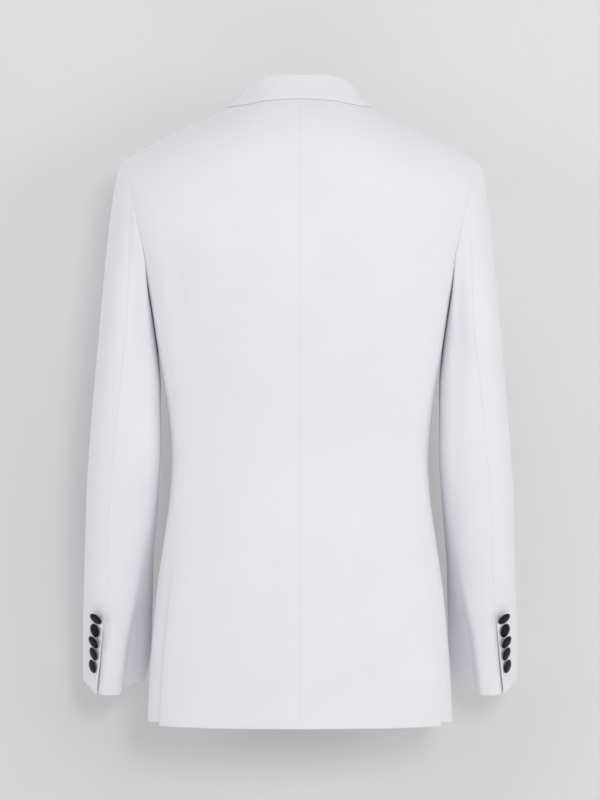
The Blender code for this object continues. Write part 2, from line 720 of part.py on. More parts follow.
CollarRow = namedtuple("CollarRow", "station rise lean proud hug")
COLLAR = (
    CollarRow(0.0, 27.0, 14.0, 0.0, 0.0),
    CollarRow(0.5, 27.0, 14.0, 0.0, 1.5),
    CollarRow(0.75, 26.0, 14.0, 0.0, 3.0),
    CollarRow(1.0, 24.5, 13.0, 0.0, 4.2),
    CollarRow(1.35, 10.0, 8.5, 1.5, 0.8),
    CollarRow(1.7, 2.4, 6.0, 2.6, 0.0),
    CollarRow(2.0, 0.0, 3.2, 2.9, 0.0),
)
COLLAR_FOLD = 2.9           # half the thickness of the folded collar at the roll
LEAF_HALF_WIDTH = 87.5
LEAF_BACK_LEVEL = -6.5
COLLAR_BELLY = 0.2          # how far the fall rounds out between roll and leaf edge
LEAF_OFF = 2.5              # outside of the leaf's edge above the cloth it lies on
LEAF_OFF_FRONT = 2.1        # and this much more at the gorge


def collar_half():
    """Stations from the centre back to the gorge, each a row of points from base to leaf edge."""
    back_columns, front_columns = COLLAR_COLUMNS
    leaf_back = drop_at(0.0, LEAF_BACK_LEVEL)
    notch = place_on_body(NOTCH.x, NOTCH.z, True)
    rows, rims = [], []
    for k in range(back_columns + front_columns + 1):
        if k <= back_columns:
            share = k / back_columns
            station, turn = share, share * pi / 2
            base = neck_pair(share)
            leaf_x = LEAF_HALF_WIDTH * sin(turn)
            drop = leaf_back * max(cos(turn), 0.0) ** 0.85
            leaf = (angle_at(leaf_x, LEAF_BACK_LEVEL, False), drop)
        else:
            share = (k - back_columns) / front_columns
            station = 1.0 + share
            base = front_neck_pair(share)
            leaf_x = lerp(LEAF_HALF_WIDTH, NOTCH.x, share) + 5.0 * sin(pi * share)
            drop = notch[1] * share
            level = shoulder_height(leaf_x) - drop_to_fall(drop)
            leaf = (angle_at(leaf_x, level, True), drop)
        normal, leaf_normal = body_normal(*base), body_normal(*leaf)
        foot = body_point(*base) - normal * CLOTH
        middle = Vector((0.0, RIDGE, foot.z))
        toward = (middle - foot).normalized() if k <= back_columns else Vector((-1.0, 0.0, 0.0))
        # beside the throat the stand's foot turns from the cloth's edge to lie next to it
        turned = smooth(station - 1.0) * pi / 2
        foot = foot + toward * (CLOTH * sin(turned) + 2 * SEAM_HALF * smooth(station - 1.0))
        rise, lean, proud, hug = (spline(COLLAR, name, station, key="station")
                                  for name in ("rise", "lean", "proud", "hug"))
        up = Vector((0.0, 0.0, 1.0))
        fold = body_point(*base) + normal * proud + up * rise + toward * lean
        past = max(station - 1.0, 0.0)
        out = (-toward).lerp(leaf_normal, 0.6 * past).normalized()
        crown = (up * (1.0 - past) + normal * past + toward * past).normalized()
        off = LEAF_OFF + LEAF_OFF_FRONT * smooth(station - 1.0)
        edge = body_point(*leaf) + leaf_normal * off
        foot = foot + (fold - foot).normalized() * SEAM_HALF
        inner_fold = fold - out * (COLLAR_FOLD * 0.8) - crown * COLLAR_FOLD
        outer_fold = fold + out * COLLAR_FOLD - crown * (COLLAR_FOLD * 0.6)
        under = (lerp(base[0], leaf[0], 0.5), lerp(base[1], leaf[1], 0.5))
        under_normal = body_normal(*under)
        belly = outer_fold.lerp(edge, 0.5) + (leaf_normal + out).normalized() * (COLLAR_BELLY - hug)
        short = (body_point(*under) - belly).dot(under_normal) + off + COLLAR_BELLY
        belly = belly + under_normal * max(short, 0.0)
        rows.append([foot, foot.lerp(inner_fold, 0.5), inner_fold, fold, outer_fold, belly, edge])
        rims.append(normal * cos(turned) - toward * sin(turned))
    return rows, rims


def sheet_normals(grid):
    normals = []
    last_row, last = len(grid) - 1, len(grid[0]) - 1
    for j, row in enumerate(grid):
        line = []
        for i in range(len(row)):
            across = row[min(i + 1, last)] - row[max(i - 1, 0)]
            along = grid[min(j + 1, last_row)][i] - grid[max(j - 1, 0)][i]
            line.append(along.cross(across).normalized())
        normals.append(line)
    return normals


def collar():
    half, rims = collar_half()
    other = mirror(half)[:0:-1]
    rows = other + half
    normals = sheet_normals(rows)
    inwards = [[-normal for normal in line] for line in normals]
    for line, rim in zip(inwards, rims[:0:-1] + rims):
        line[0] = rim.copy()
    count = len(half) - 1
    for j in range(count):
        inwards[j][0].x = -inwards[j][0].x
    rows = trim_edges([list(column) for column in zip(*rows)],
                      left=2 * SEAM_HALF, right=2 * SEAM_HALF)
    inwards = [list(column) for column in zip(*inwards)]
    cloth_wall("collar", rows, inwards, wool("collar"))


# ---- the sleeves ----

def sleeves(loop, marks, grid, normals, rims):
    inwards = [[-normal for normal in line] for line in normals]
    inwards[0] = list(rims[:marks["end"]])
    count = marks["end"]
    elbow, front = marks["back"], marks["cap_front"]
    top_columns = [i % count for i in range(front, elbow + count + 1)]
    under_columns = list(range(elbow, front + 1))

    def cut(columns):
        points = trim_edges([[row[i] for i in columns] for row in grid],
                            left=SEAM_HALF, right=SEAM_HALF, bottom=SEAM_HALF)
        directions = [[row[i] for i in columns] for row in inwards]
        points[0] = [point + rim * SEAM_HALF for point, rim in zip(points[0], directions[0])]
        return points, directions

    both_sides("top_sleeve", *cut(top_columns), wool)

    # the under sleeve steps in at the cuff vent and carries on under the top sleeve
    points, directions = cut(under_columns)
    levels = [None] * len(CAP_SHARES) + [row.z for row in SLEEVE]
    first = len(grid) - CUFF_VENT_ROWS
    skip = set()
    for j, (row, line) in enumerate(zip(points, directions)):
        lap = []
        for share in (1.0, 0.5):
            if j >= first:
                turn = radians(spline(SLEEVE, "elbow", levels[j]) + CUFF_UNDERLAP_DEG * share)
                lap.append(ring_point(levels[j], turn))
            else:
                lap.append(row[0].copy())
        points[j] = lap + row
        directions[j] = [line[0].copy(), line[0].copy()] + line
        if j >= first:
            for i, share in enumerate((1.0, 1.0, 1.0, 0.2)):
                points[j][i] = points[j][i] + directions[j][i] * (CUFF_VENT_STEP * share)
        else:
            skip |= {(j, 0), (j, 1)}
    both_sides("under_sleeve", points, directions, wool, skip=skip)


# ---- buttons and pockets ----

def button_mesh(name, radius, shank):
    """A covered button turned round its own axis, with its shank below."""
    profile = ((0.0, -shank), (SHANK_RADIUS, -shank), (SHANK_RADIUS, 0.0), (radius * 0.86, 0.15),
               (radius, 0.9), (radius * 0.93, BUTTON_DEPTH * 0.62),
               (radius * 0.62, BUTTON_DEPTH * 0.9), (0.0, BUTTON_DEPTH))
    shape = bmesh.new()
    verts = [shape.verts.new((r * MM, 0.0, h * MM)) for r, h in profile]
    edges = [shape.edges.new(pair) for pair in zip(verts, verts[1:])]
    bmesh.ops.spin(shape, geom=verts + edges, cent=(0, 0, 0), axis=(0, 0, 1), angle=2 * pi,
                   steps=BUTTON_SIDES, use_duplicate=False)
    bmesh.ops.remove_doubles(shape, verts=shape.verts[:], dist=0.00002)
    bmesh.ops.recalc_face_normals(shape, faces=shape.faces[:])
    mesh = bpy.data.meshes.new(name)
    shape.to_mesh(mesh)
    shape.free()
    return mesh


def place_button(name, radius, shank, place, face):
    piece = add_object(name, button_mesh(name, radius, shank), satin(name))
    piece.location = place * MM
    piece.rotation_euler = face.to_track_quat("Z", "Y").to_euler()


def cuff_buttons():
    for number, row in enumerate(CUFF_BUTTONS, start=1):
        turn = radians(row.turn)
        seat = ring_point(row.z, turn)
        across = ring_point(row.z, turn + 0.02) - ring_point(row.z, turn - 0.02)
        down = ring_point(row.z - 1.0, turn) - ring_point(row.z + 1.0, turn)
        outward = across.cross(down).normalized()
        out, tip = radians(row.out), radians(row.tip)
        face = Vector((sin(out) * cos(tip), cos(out) * cos(tip), -sin(tip)))
        lean = acos(min(1.0, face.dot(outward)))
        lift = CUFF_BUTTON_RADIUS * sin(lean) + BUTTON_SEAT
        shank = lift / cos(lean) - SHANK_RADIUS * sin(lean) / cos(lean) - CUFF_SHANK_GAP
        centre = seat + outward * lift
        for side, sign in (("left", 1.0), ("right", -1.0)):
            flip = Vector((sign, 1.0, 1.0))
            place_button(f"cuff_button_{side}_{number}", CUFF_BUTTON_RADIUS, shank,
                         centre * flip, face * flip)


def front_button():
    pair = place_on_body(0.0, BREAK, True)
    outward = body_normal(*pair)
    shank = 1.0
    place_button("front_button", FRONT_BUTTON_RADIUS, shank,
                 body_point(*pair) + outward * (shank + LAID_GAP), outward)


def laid_strip(span, top_levels, depth, columns):
    """A strip of cloth that lies on the front, drawn from the front's own points."""
    rows = []
    for share in (1.0, 0.5, 0.0):
        line = []
        for k in range(columns + 1):
            x = lerp(span[0], span[1], k / columns)
            z = lerp(top_levels[0], top_levels[1], k / columns) - depth * share
            line.append(place_on_body(x, z, True))
        rows.append(line)
    points, inwards = body_cloth(rows)
    return shift(points, inwards, -(TRIM + TRIM_GAP)), inwards


def pockets():
    points, inwards = laid_strip(POCKET_SPAN, (POCKET_LEVEL, POCKET_LEVEL), POCKET_DEPTH,
                                 POCKET_COLUMNS)
    both_sides("hip_pocket", points, inwards, wool, thickness=TRIM)
    points, inwards = laid_strip(WELT_SPAN, WELT_LEVELS, WELT_DEPTH, POCKET_COLUMNS)
    cloth_wall("breast_welt", points, inwards, wool("breast_welt"), thickness=TRIM)


def main():
    for piece in list(bpy.data.objects):
        bpy.data.objects.remove(piece, do_unlink=True)
    loop, marks = armhole_loop()
    tube = sleeve_grid(loop, marks)
    tube_outwards = tube_normals(tube)
    outwards = [body_normal(*pair) for pair in loop]
    body_rim, sleeve_rim = armhole_rims(loop, outwards, tube_outwards[0])
    back_panels(loop, marks, body_rim)
    side_panels(loop, marks, body_rim)
    front_panels(loop, marks, body_rim)
    lapels()
    collar()
    sleeves(loop, marks, tube, tube_outwards, sleeve_rim)
    cuff_buttons()
    front_button()
    pockets()


main()
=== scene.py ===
import json
from math import pi, radians

import bpy
import numpy as np
from mathutils import Matrix, Vector

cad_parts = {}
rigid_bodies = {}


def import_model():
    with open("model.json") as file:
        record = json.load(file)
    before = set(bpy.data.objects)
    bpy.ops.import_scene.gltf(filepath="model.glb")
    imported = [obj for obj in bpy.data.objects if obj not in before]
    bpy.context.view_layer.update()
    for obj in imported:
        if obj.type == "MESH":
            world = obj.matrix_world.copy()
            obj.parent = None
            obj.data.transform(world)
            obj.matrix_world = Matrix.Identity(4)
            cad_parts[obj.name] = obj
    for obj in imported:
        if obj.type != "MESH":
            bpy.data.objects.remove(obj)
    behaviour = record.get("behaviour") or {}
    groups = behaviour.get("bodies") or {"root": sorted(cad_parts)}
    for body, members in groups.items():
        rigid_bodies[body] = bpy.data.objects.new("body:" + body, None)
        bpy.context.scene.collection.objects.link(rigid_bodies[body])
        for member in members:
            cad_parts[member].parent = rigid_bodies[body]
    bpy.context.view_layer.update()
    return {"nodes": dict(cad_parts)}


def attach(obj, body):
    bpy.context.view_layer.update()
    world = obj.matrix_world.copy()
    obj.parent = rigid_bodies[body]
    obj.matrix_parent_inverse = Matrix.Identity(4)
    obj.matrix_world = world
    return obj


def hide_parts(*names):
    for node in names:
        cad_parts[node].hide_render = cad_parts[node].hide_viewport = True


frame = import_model()
print("frame loaded:", len(frame["nodes"]), "nodes")

mm = 0.001

cloth = {
    "thickness": 2.0,
    "seamHalf": 0.04,           # each panel stops this far short of a seam
    "fineness": 5,              # cells of the fine grids in one step of the pattern
    "hem": -749.0,
    "ventTop": -550.0,
    "breakLevel": -430.0,
    "lapColumns": 6,            # cells across the underlap of a vent
    "lapJoin": 4.0,             # from its last line to the edge of the panel
}

bodyShape = {
    "rows": [   # level, half width, depth behind, depth in front, place of the middle
        (-760.0, 186.0, 119.0, 141.0, 0.0), (-700.0, 183.0, 117.0, 140.0, 0.0),
        (-640.0, 178.5, 114.0, 137.0, 0.0), (-585.0, 173.0, 109.0, 134.0, 0.0),
        (-523.0, 164.0, 101.0, 130.0, -1.0), (-480.0, 158.8, 95.0, 127.0, -3.0),
        (-430.0, 156.9, 91.0, 125.0, -4.0), (-370.0, 162.3, 93.0, 124.0, -2.0),
        (-309.0, 171.2, 100.0, 123.0, 1.0), (-240.0, 182.0, 108.0, 121.0, 4.0),
        (-200.0, 193.0, 111.0, 117.0, 5.0), (-165.0, 206.0, 112.0, 111.0, 5.0),
        (-120.0, 215.0, 111.0, 101.0, 5.0), (-65.0, 221.5, 105.0, 90.0, 5.0),
        (0.0, 225.0, 96.0, 78.0, 5.0), (40.0, 227.0, 92.0, 72.0, 5.0)],
    "shoulder": [   # distance from the middle and height
        (-40.0, 15.0), (0.0, 21.0), (40.0, 15.0), (70.0, 1.0), (95.0, -11.5), (116.0, -21.0),
        (146.0, -35.0), (175.0, -49.5), (204.0, -64.5), (232.0, -79.5)],
    "shoulderRound": 85.0,      # radius from the shoulder line down to the back and the front
    "ridge": 5.0,               # where the shoulder line runs
    "frontPower": 0.65,         # of the section: the lower, the squarer at the sides
    "backPowers": [             # the same behind, by level
        (-760.0, 0.6), (-480.0, 0.6), (-400.0, 0.54), (-320.0, 0.44), (-240.0, 0.4),
        (-165.0, 0.48), (-100.0, 0.58), (40.0, 0.6)],
}


def smooth(share):
    share = np.clip(share, 0.0, 1.0)
    return share * share * (3.0 - 2.0 * share)


def blend(start, end, share):
    return start + (end - start) * share


def path(start, end, leave, arrive, t):
    # smooth way from start to end, with a slope at each
    return (start * (2 * t ** 3 - 3 * t ** 2 + 1) + end * (3 * t ** 2 - 2 * t ** 3)
            + leave * (t ** 3 - 2 * t ** 2 + t) + arrive * (t ** 3 - t ** 2))


def curve(rows, column, at):
    # smooth value of one column of a table, whose first column is the key
    table = np.array(sorted(rows), float)
    keys, values = table[:, 0], table[:, column]
    at = np.asarray(at, float)
    slopes = np.empty(len(keys))
    slopes[1:-1] = (values[2:] - values[:-2]) / (keys[2:] - keys[:-2])
    slopes[0] = (values[1] - values[0]) / (keys[1] - keys[0])
    slopes[-1] = (values[-1] - values[-2]) / (keys[-1] - keys[-2])
    index = np.clip(np.searchsorted(keys, at, side="right") - 1, 0, len(keys) - 2)
    span = keys[index + 1] - keys[index]
    inside = path(values[index], values[index + 1], span * slopes[index], span * slopes[index + 1],
                  (at - keys[index]) / span)
    below = values[0] + slopes[0] * (at - keys[0])
    above = values[-1] + slopes[-1] * (at - keys[-1])
    return np.where(at <= keys[0], below, np.where(at >= keys[-1], above, inside))


def unit(vectors):
    return vectors / np.maximum(np.linalg.norm(vectors, axis=-1, keepdims=True), 1e-9)


def signedPower(value, power):
    return np.sign(value) * np.abs(value) ** power


def shoulderHeight(x):
    return curve(bodyShape["shoulder"], 1, np.abs(x))


def dropToFall(drop):
    # height lost after going this far down over the rounded shoulder
    r = bodyShape["shoulderRound"]
    drop = np.asarray(drop, float)
    return np.where(drop < r * pi / 2, r * (1.0 - np.cos(drop / r)), r + drop - r * pi / 2)


def dropAt(angle, z):
    r = bodyShape["shoulderRound"]
    x = curve(bodyShape["rows"], 1, z) * np.sin(angle)
    fall = np.maximum(shoulderHeight(x) - z, 0.0)
    return np.where(fall < r, r * np.arccos(np.clip(1.0 - fall / r, -1, 1)), fall - r + r * pi / 2)


def angleAt(x, z, front):
    angle = np.arcsin(np.clip(x / curve(bodyShape["rows"], 1, z), -1.0, 1.0))
    return pi - angle if front else angle


def bodyPoint(angle, drop):
    # outside of the body at an angle from the centre back and a drop from the shoulder line
    angle, drop = np.broadcast_arrays(np.asarray(angle, float), np.asarray(drop, float))
    rows, r, ridge = bodyShape["rows"], bodyShape["shoulderRound"], bodyShape["ridge"]
    z = -dropToFall(drop)
    for _ in range(8):          # width and height depend on each other
        x = curve(rows, 1, z) * np.sin(angle)
        z = shoulderHeight(x) - dropToFall(drop)
    behind = np.cos(angle) > 0
    depth = np.where(behind, curve(rows, 2, z), curve(rows, 3, z))
    power = np.where(behind, curve(bodyShape["backPowers"], 1, z), bodyShape["frontPower"])
    y = curve(rows, 4, z) + depth * signedPower(np.cos(angle), power)
    rounding = np.sin(np.minimum(drop / r, pi / 2))
    return np.stack([x, ridge + (y - ridge) * rounding, z], axis=-1)


def bodyNormal(angle, drop):
    # from small steps either way; straight up from the slope on the shoulder line itself
    across = bodyPoint(angle + 0.01, drop) - bodyPoint(angle - 0.01, drop)
    down = bodyPoint(angle, drop + 0.5) - bodyPoint(angle, np.asarray(drop) - 0.5)
    normal = unit(np.cross(across, down))
    x = bodyPoint(angle, np.zeros_like(drop))[..., 0]
    slope = (shoulderHeight(x + 1.0) - shoulderHeight(x - 1.0)) / 2.0
    crest = unit(np.stack([-slope, np.zeros_like(slope), np.ones_like(slope)], axis=-1))
    return np.where((np.asarray(drop) < 1.0)[..., None], crest, normal)


def atLevel(angle, z):
    # pairs of angle and drop, as the edges of the panels are given
    return np.stack([angle, dropAt(angle, z)], axis=-1)


def placeOnBody(x, z):
    return atLevel(angleAt(x, z, True), z)


def patch(bottom, top, left, right):
    # fills four edges of (angle, drop) pairs
    u = np.linspace(0.0, 1.0, len(bottom))[None, :, None]
    v = np.linspace(0.0, 1.0, len(left))[:, None, None]
    return ((1 - v) * bottom[None] + v * top[None] + (1 - u) * left[:, None] + u * right[:, None]
            - (1 - u) * (1 - v) * bottom[0] - u * (1 - v) * bottom[-1]
            - (1 - u) * v * top[0] - u * v * top[-1])


def bodyCloth(pairs):
    return bodyPoint(pairs[..., 0], pairs[..., 1]), -bodyNormal(pairs[..., 0], pairs[..., 1])


edgeRoll = {
    "at": (0.0, 0.25, 0.75, 1.8, 4.5),         # distance from the edge
    "free": (0.85, 0.42, 0.14, 0.0, 0.0),      # how far the face rolls in at a free edge
    "seam": (0.30, 0.16, 0.10, 0.05, 0.0),     # and along a pressed seam
    "armhole": 0.6,                            # how much like a seam shoulder and armhole are
    "inside": 0.5,                             # share of it that the inside face rolls
    "fit": 0.8,                                # of the first cell, at most, goes to the roll
}
edgeLines = len(edgeRoll["at"])


def edgeFirst(array, side):
    # a view of a grid with one edge as its first column
    view = array if side in ("left", "right") else np.swapaxes(array, 0, 1)
    return view[:, ::-1] if side in ("right", "top") else view


class Sheet:
    # a cloth wall as a grid: outside points, inward directions, the place of each point on the
    # flat cloth, and how far it sinks in
    def __init__(self, points, inwards):
        self.points, self.inwards = points, inwards
        self.grain = self.clothCoordinates()
        self.sink = np.zeros(points.shape[:2])

    def clothCoordinates(self):
        across = np.linalg.norm(np.diff(self.points, axis=1), axis=-1)
        along = np.linalg.norm(np.diff(self.points, axis=0), axis=-1)
        u = np.concatenate([np.zeros((len(self.points), 1)), np.cumsum(across, axis=1)], axis=1)
        middle = self.points.shape[1] // 2
        v = np.concatenate([[0.0], np.cumsum(along[:, middle])])
        return np.stack([u - u[:, middle:middle + 1], np.repeat(v[:, None], u.shape[1], 1)], axis=-1)

    def arrays(self):
        return [self.points, self.inwards, self.grain, self.sink[..., None]]

    def setArrays(self, arrays):
        self.points, self.inwards, self.grain = arrays[0], unit(arrays[1]), arrays[2]
        self.sink = arrays[3][..., 0]

    def pull(self, side, amount):
        # bring one edge back along the cloth
        points = edgeFirst(self.points, side)
        step = points[:, 1] - points[:, 0]
        length = np.maximum(np.linalg.norm(step, axis=-1, keepdims=True), amount)
        points[:, 0] = points[:, 0] + step * (amount / length)

    def rollEdge(self, side, seam):
        # add fine lines beside an edge and roll the face in; seam is 0 to 1 along the edge
        arrays = [edgeFirst(array, side) for array in self.arrays()]
        points = arrays[0]
        length = np.linalg.norm(points[:, 1] - points[:, 0], axis=-1)
        reach = np.minimum(1.0, edgeRoll["fit"] * length / edgeRoll["at"][-1])
        shares = [distance * reach / np.maximum(length, 1e-6) for distance in edgeRoll["at"]]
        seam = np.broadcast_to(np.asarray(seam, float), length.shape)
        made = []
        for array in arrays:
            lines = [array[:, 0] + (array[:, 1] - array[:, 0]) * share[:, None] for share in shares]
            made.append(np.concatenate([np.stack(lines, axis=1), array[:, 1:]], axis=1))
        for k, (free, sewn) in enumerate(zip(edgeRoll["free"], edgeRoll["seam"])):
            made[3][:, k, 0] = np.maximum(made[3][:, k, 0], blend(free, sewn, seam))
        if side in ("right", "top"):
            made = [array[:, ::-1] for array in made]
        if side in ("bottom", "top"):
            made = [np.swapaxes(array, 0, 1) for array in made]
        self.setArrays(made)

    def trim(self):
        for side in ("left", "right", "top"):
            self.pull(side, cloth["seamHalf"])

    def rollAll(self, **seams):
        for side, seam in seams.items():
            self.rollEdge(side, seam)

    def press(self, amount):
        # move the outside points inwards by an amount for each
        self.points = self.points + self.inwards * np.asarray(amount)[..., None]

    def cells(self):
        return np.ones(np.array(self.sink.shape) - 1, bool)

    def mirrored(self):
        other = Sheet(self.points * (-1, 1, 1), self.inwards * (-1, 1, 1))
        other.grain, other.sink = self.grain * (-1, 1), self.sink.copy()
        return other

    def withLap(self, points, inwards):
        # the same sheet with the underlap of a vent before its left edge
        lap, whole = Sheet(points, inwards), Sheet(self.points, self.inwards)
        lap.grain = lap.grain + self.grain[:, :1] - lap.grain[:, -1:] - (cloth["lapJoin"], 0.0)
        whole.setArrays([np.concatenate(pair, axis=1) for pair in zip(lap.arrays(), self.arrays())])
        return whole


class Shader:
    # one socket of a material, so that its maths reads as Python
    def __init__(self, tree, socket):
        self.tree, self.socket = tree, socket

    def maths(self, operation, first, second=0.0):
        node = self.tree.nodes.new("ShaderNodeMath")
        node.operation = operation
        for slot, value in zip(node.inputs, (first, second)):
            if isinstance(value, Shader):
                self.tree.links.new(value.socket, slot)
            else:
                slot.default_value = value
        return Shader(self.tree, node.outputs[0])

    def __add__(self, other): return self.maths("ADD", self, other)
    def __radd__(self, other): return self.maths("ADD", other, self)
    def __sub__(self, other): return self.maths("SUBTRACT", self, other)
    def __rsub__(self, other): return self.maths("SUBTRACT", other, self)
    def __mul__(self, other): return self.maths("MULTIPLY", self, other)
    def __rmul__(self, other): return self.maths("MULTIPLY", other, self)


class Finish:
    # one material and the only method that adds its nodes
    def __init__(self, name):
        self.material = bpy.data.materials.new(name)
        self.material.use_nodes = True
        self.tree = self.material.node_tree
        self.shader = self.tree.nodes["Principled BSDF"]

    def node(self, kind, settings=None, output=0, **sockets):
        node = self.tree.nodes.new(kind)
        for key, value in (settings or {}).items():
            setattr(node, key, value)
        self.put(node, **sockets)
        return Shader(self.tree, node.outputs[output])

    def put(self, node, **sockets):
        # a socket goes by its name, or by its number after an n
        for key, value in sockets.items():
            number = key[0] == "n"
            slot = node.inputs[int(key[1:]) if number else key.replace("_", " ")]
            if isinstance(value, Shader):
                self.tree.links.new(value.socket, slot)
            else:
                slot.default_value = value

    def mix(self, share, first, second):
        return self.node("ShaderNodeMix", {"data_type": "RGBA"}, output=2, n0=share, n6=first, n7=second)

    def set(self, **sockets):
        self.put(self.shader, **sockets)


wool = {
    "light": (0.915, 0.912, 0.95, 1.0),
    "shade": (0.835, 0.832, 0.873, 1.0),
    "roughness": 0.82,
    "twillPitch": 0.9 * pi,     # distance between the diagonal ribs
    "twillAngle": 32.0,
    "twillDepth": 0.05,
    "patches": 14.0,            # scale of the broad changes of tone
    "slubs": 420.0,             # and of the fine ones along the yarn
}


def woolFinish(name):
    finish = Finish(name)
    grain = finish.node("ShaderNodeUVMap", {"uv_map": "grain"})
    place = finish.node("ShaderNodeTexCoord", output=3)
    soft = finish.node("ShaderNodeTexNoise", Vector=place, Scale=wool["patches"], Detail=3.0,
                       Roughness=0.55)
    slub = finish.node("ShaderNodeTexNoise", Vector=grain, Scale=wool["slubs"], Detail=2.0, Roughness=0.6)
    tilt = finish.node("ShaderNodeMapping", Vector=grain,
                       Rotation=(0.0, 0.0, radians(wool["twillAngle"])))
    ribs = finish.node("ShaderNodeTexWave", output=1, Vector=tilt, Distortion=0.4, Detail=1.0,
                       Detail_Scale=2.0, Scale=0.1 * pi / (wool["twillPitch"] * mm))
    colour = finish.mix(soft * 0.75 + slub * 0.25, wool["shade"], wool["light"])
    bump = finish.node("ShaderNodeBump", Height=ribs * 0.5 + slub * 0.6, Strength=0.35,
                       Distance=wool["twillDepth"] * mm)
    finish.set(Base_Color=colour, Roughness=wool["roughness"] + 0.1 * (slub - 0.5), Normal=bump,
               Sheen_Weight=0.12, Sheen_Roughness=0.45, Specular_IOR_Level=0.25)
    return finish.material


satin = {
    "black": (0.004, 0.0035, 0.004, 1.0),
    "worn": (0.010, 0.009, 0.010, 1.0),
    "roughness": 0.42,
    "ribs": 260.0,
    "puckers": 300.0,
    "depth": 0.15,
}


def satinFinish(name):
    finish = Finish(name)
    grain = finish.node("ShaderNodeUVMap", {"uv_map": "grain"})
    ribs = finish.node("ShaderNodeTexWave", {"bands_direction": "Y"}, output=1, Vector=grain,
                       Scale=satin["ribs"], Distortion=1.2, Detail=2.0, Detail_Scale=3.0)
    puckers = finish.node("ShaderNodeTexNoise", Vector=grain, Scale=satin["puckers"], Detail=2.0)
    colour = finish.mix(puckers, satin["black"], satin["worn"])
    bump = finish.node("ShaderNodeBump", Height=ribs * 0.3 + puckers, Strength=0.4,
                       Distance=satin["depth"] * mm)
    finish.set(Base_Color=colour, Roughness=satin["roughness"] + 0.15 * (puckers - 0.5), Normal=bump,
               Specular_IOR_Level=0.16, Sheen_Weight=0.02, Sheen_Roughness=0.3)
    return finish.material


woolCloth = woolFinish("wool")
blackSatin = satinFinish("satin")
print("finishes made")


def dress(piece, node, material):
    piece.data.materials.clear()
    piece.data.materials.append(material)
    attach(piece, "root")
    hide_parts(node)


def buildWall(name, sheet, thick, used):
    # a closed wall of the used cells: outside face, inside face and a rim round every free edge
    rows, columns = sheet.points.shape[:2]
    outer = sheet.points + sheet.inwards * sheet.sink[..., None]
    inner = sheet.points + sheet.inwards * (thick - edgeRoll["inside"] * sheet.sink)[..., None]
    index = np.arange(rows * columns).reshape(rows, columns)
    quads = np.stack([index[:-1, :-1], index[:-1, 1:], index[1:, 1:], index[1:, :-1]], axis=-1)[used]
    flat, directions = outer.reshape(-1, 3), sheet.inwards.reshape(-1, 3)
    first, second, third = flat[quads[:, 0]], flat[quads[:, 1]], flat[quads[:, 2]]
    facing = (np.cross(second - first, third - first) * directions[quads[:, 0]]).sum(-1)
    if np.median(facing) > 0:
        quads = quads[:, ::-1]
    quads = quads.tolist()
    edges = {(quad[k], quad[(k + 1) % 4]) for quad in quads for k in range(4)}
    count = rows * columns
    faces = quads + [[v + count for v in reversed(quad)] for quad in quads]
    faces += [[b, a, a + count, b + count] for a, b in edges if (b, a) not in edges]
    faces = np.array(sorted(faces))
    kept, faces = np.unique(faces, return_inverse=True)
    points = np.concatenate([flat, inner.reshape(-1, 3)])[kept] * mm
    grain = np.concatenate([sheet.grain.reshape(-1, 2)] * 2)[kept] * mm
    faces = faces.reshape(-1, 4)
    mesh = bpy.data.meshes.new(name)
    mesh.from_pydata(points.tolist(), [], faces.tolist())
    layer = mesh.uv_layers.new(name="grain")
    loops = np.empty(len(mesh.loops), int)
    mesh.loops.foreach_get("vertex_index", loops)
    layer.data.foreach_set("uv", grain[loops].ravel())
    mesh.shade_smooth()
    piece = bpy.data.objects.new(name, mesh)
    bpy.context.collection.objects.link(piece)
    return piece


def addCloth(name, sheet, flat, node=None, held="hung", restsOn=(), thick=cloth["thickness"], used=None):
    used = sheet.cells() if used is None else used
    piece = buildWall(name, sheet, thick, used)
    node = node or "".join("_" + c.lower() if c.isupper() else c for c in name)
    dress(piece, node, woolCloth)
    a = sheet.points[:-1, :-1]
    cells = np.linalg.norm(np.cross(sheet.points[:-1, 1:] - a, sheet.points[1:, :-1] - a), axis=-1)
    area = float(cells[used].sum()) * mm * mm
    min(area, flat[0] * flat[1])


def addPair(name, left, right, flat, **options):
    addCloth(name + "Left", left, flat, **options)
    addCloth(name + "Right", right, flat, **options)


folds = {
    "ridges": [   # x and z of both ends, half width, and height, or depth of a hollow
        (168.0, -175.0, 150.0, -330.0, 11.0, 1.6), (150.0, -170.0, 138.0, -300.0, 12.0, -1.2)],
    "past": 0.15,               # a ridge runs on past its ends for this share of its length
    "fade": 0.4,                # and dies away over this share
    "turned": (0.15, -0.35),    # and where the cloth turns from the back to the side
}


def drape(sheet):
    total = np.zeros(sheet.points.shape[:2])
    for x0, z0, x1, z1, width, height in folds["ridges"]:
        run = np.array([x1 - x0, z1 - z0])
        place = sheet.points[..., (0, 2)] - (x0, z0)
        share = (place @ run) / (run @ run)
        away = np.abs(place[..., 0] * run[1] - place[..., 1] * run[0]) / np.linalg.norm(run)
        ends = (smooth((folds["past"] + share) / folds["fade"])
                * smooth((1.0 + folds["past"] - share) / folds["fade"]))
        total += height * ends * np.exp(-(away / width) ** 2)
    start, end = folds["turned"]
    sheet.press(-total * smooth((start - sheet.inwards[..., 1]) / (start - end)))


# the armhole is shared by the body and the sleeve
armhole = {
    "rows": [   # angle round the body and level
        (79.6, -71.0), (72.0, -99.0), (69.4, -129.0), (68.2, -159.0), (70.4, -187.0),
        (75.0, -209.0), (82.0, -228.0), (90.0, -238.0), (99.0, -234.0), (108.0, -217.0),
        (115.0, -190.0), (119.0, -162.0), (116.0, -130.0), (109.5, -100.0), (100.4, -71.0)],
    "ends": (0, 2, 5, 9, 10, 14),
    "steps": {"capBack": 5, "back": 4, "side": 6, "front": 2, "capFront": 7},
    "shared": (-0.2, 0.5),      # cosine between body and sleeve where their rims begin to be one, and are
}
fine = cloth["fineness"]


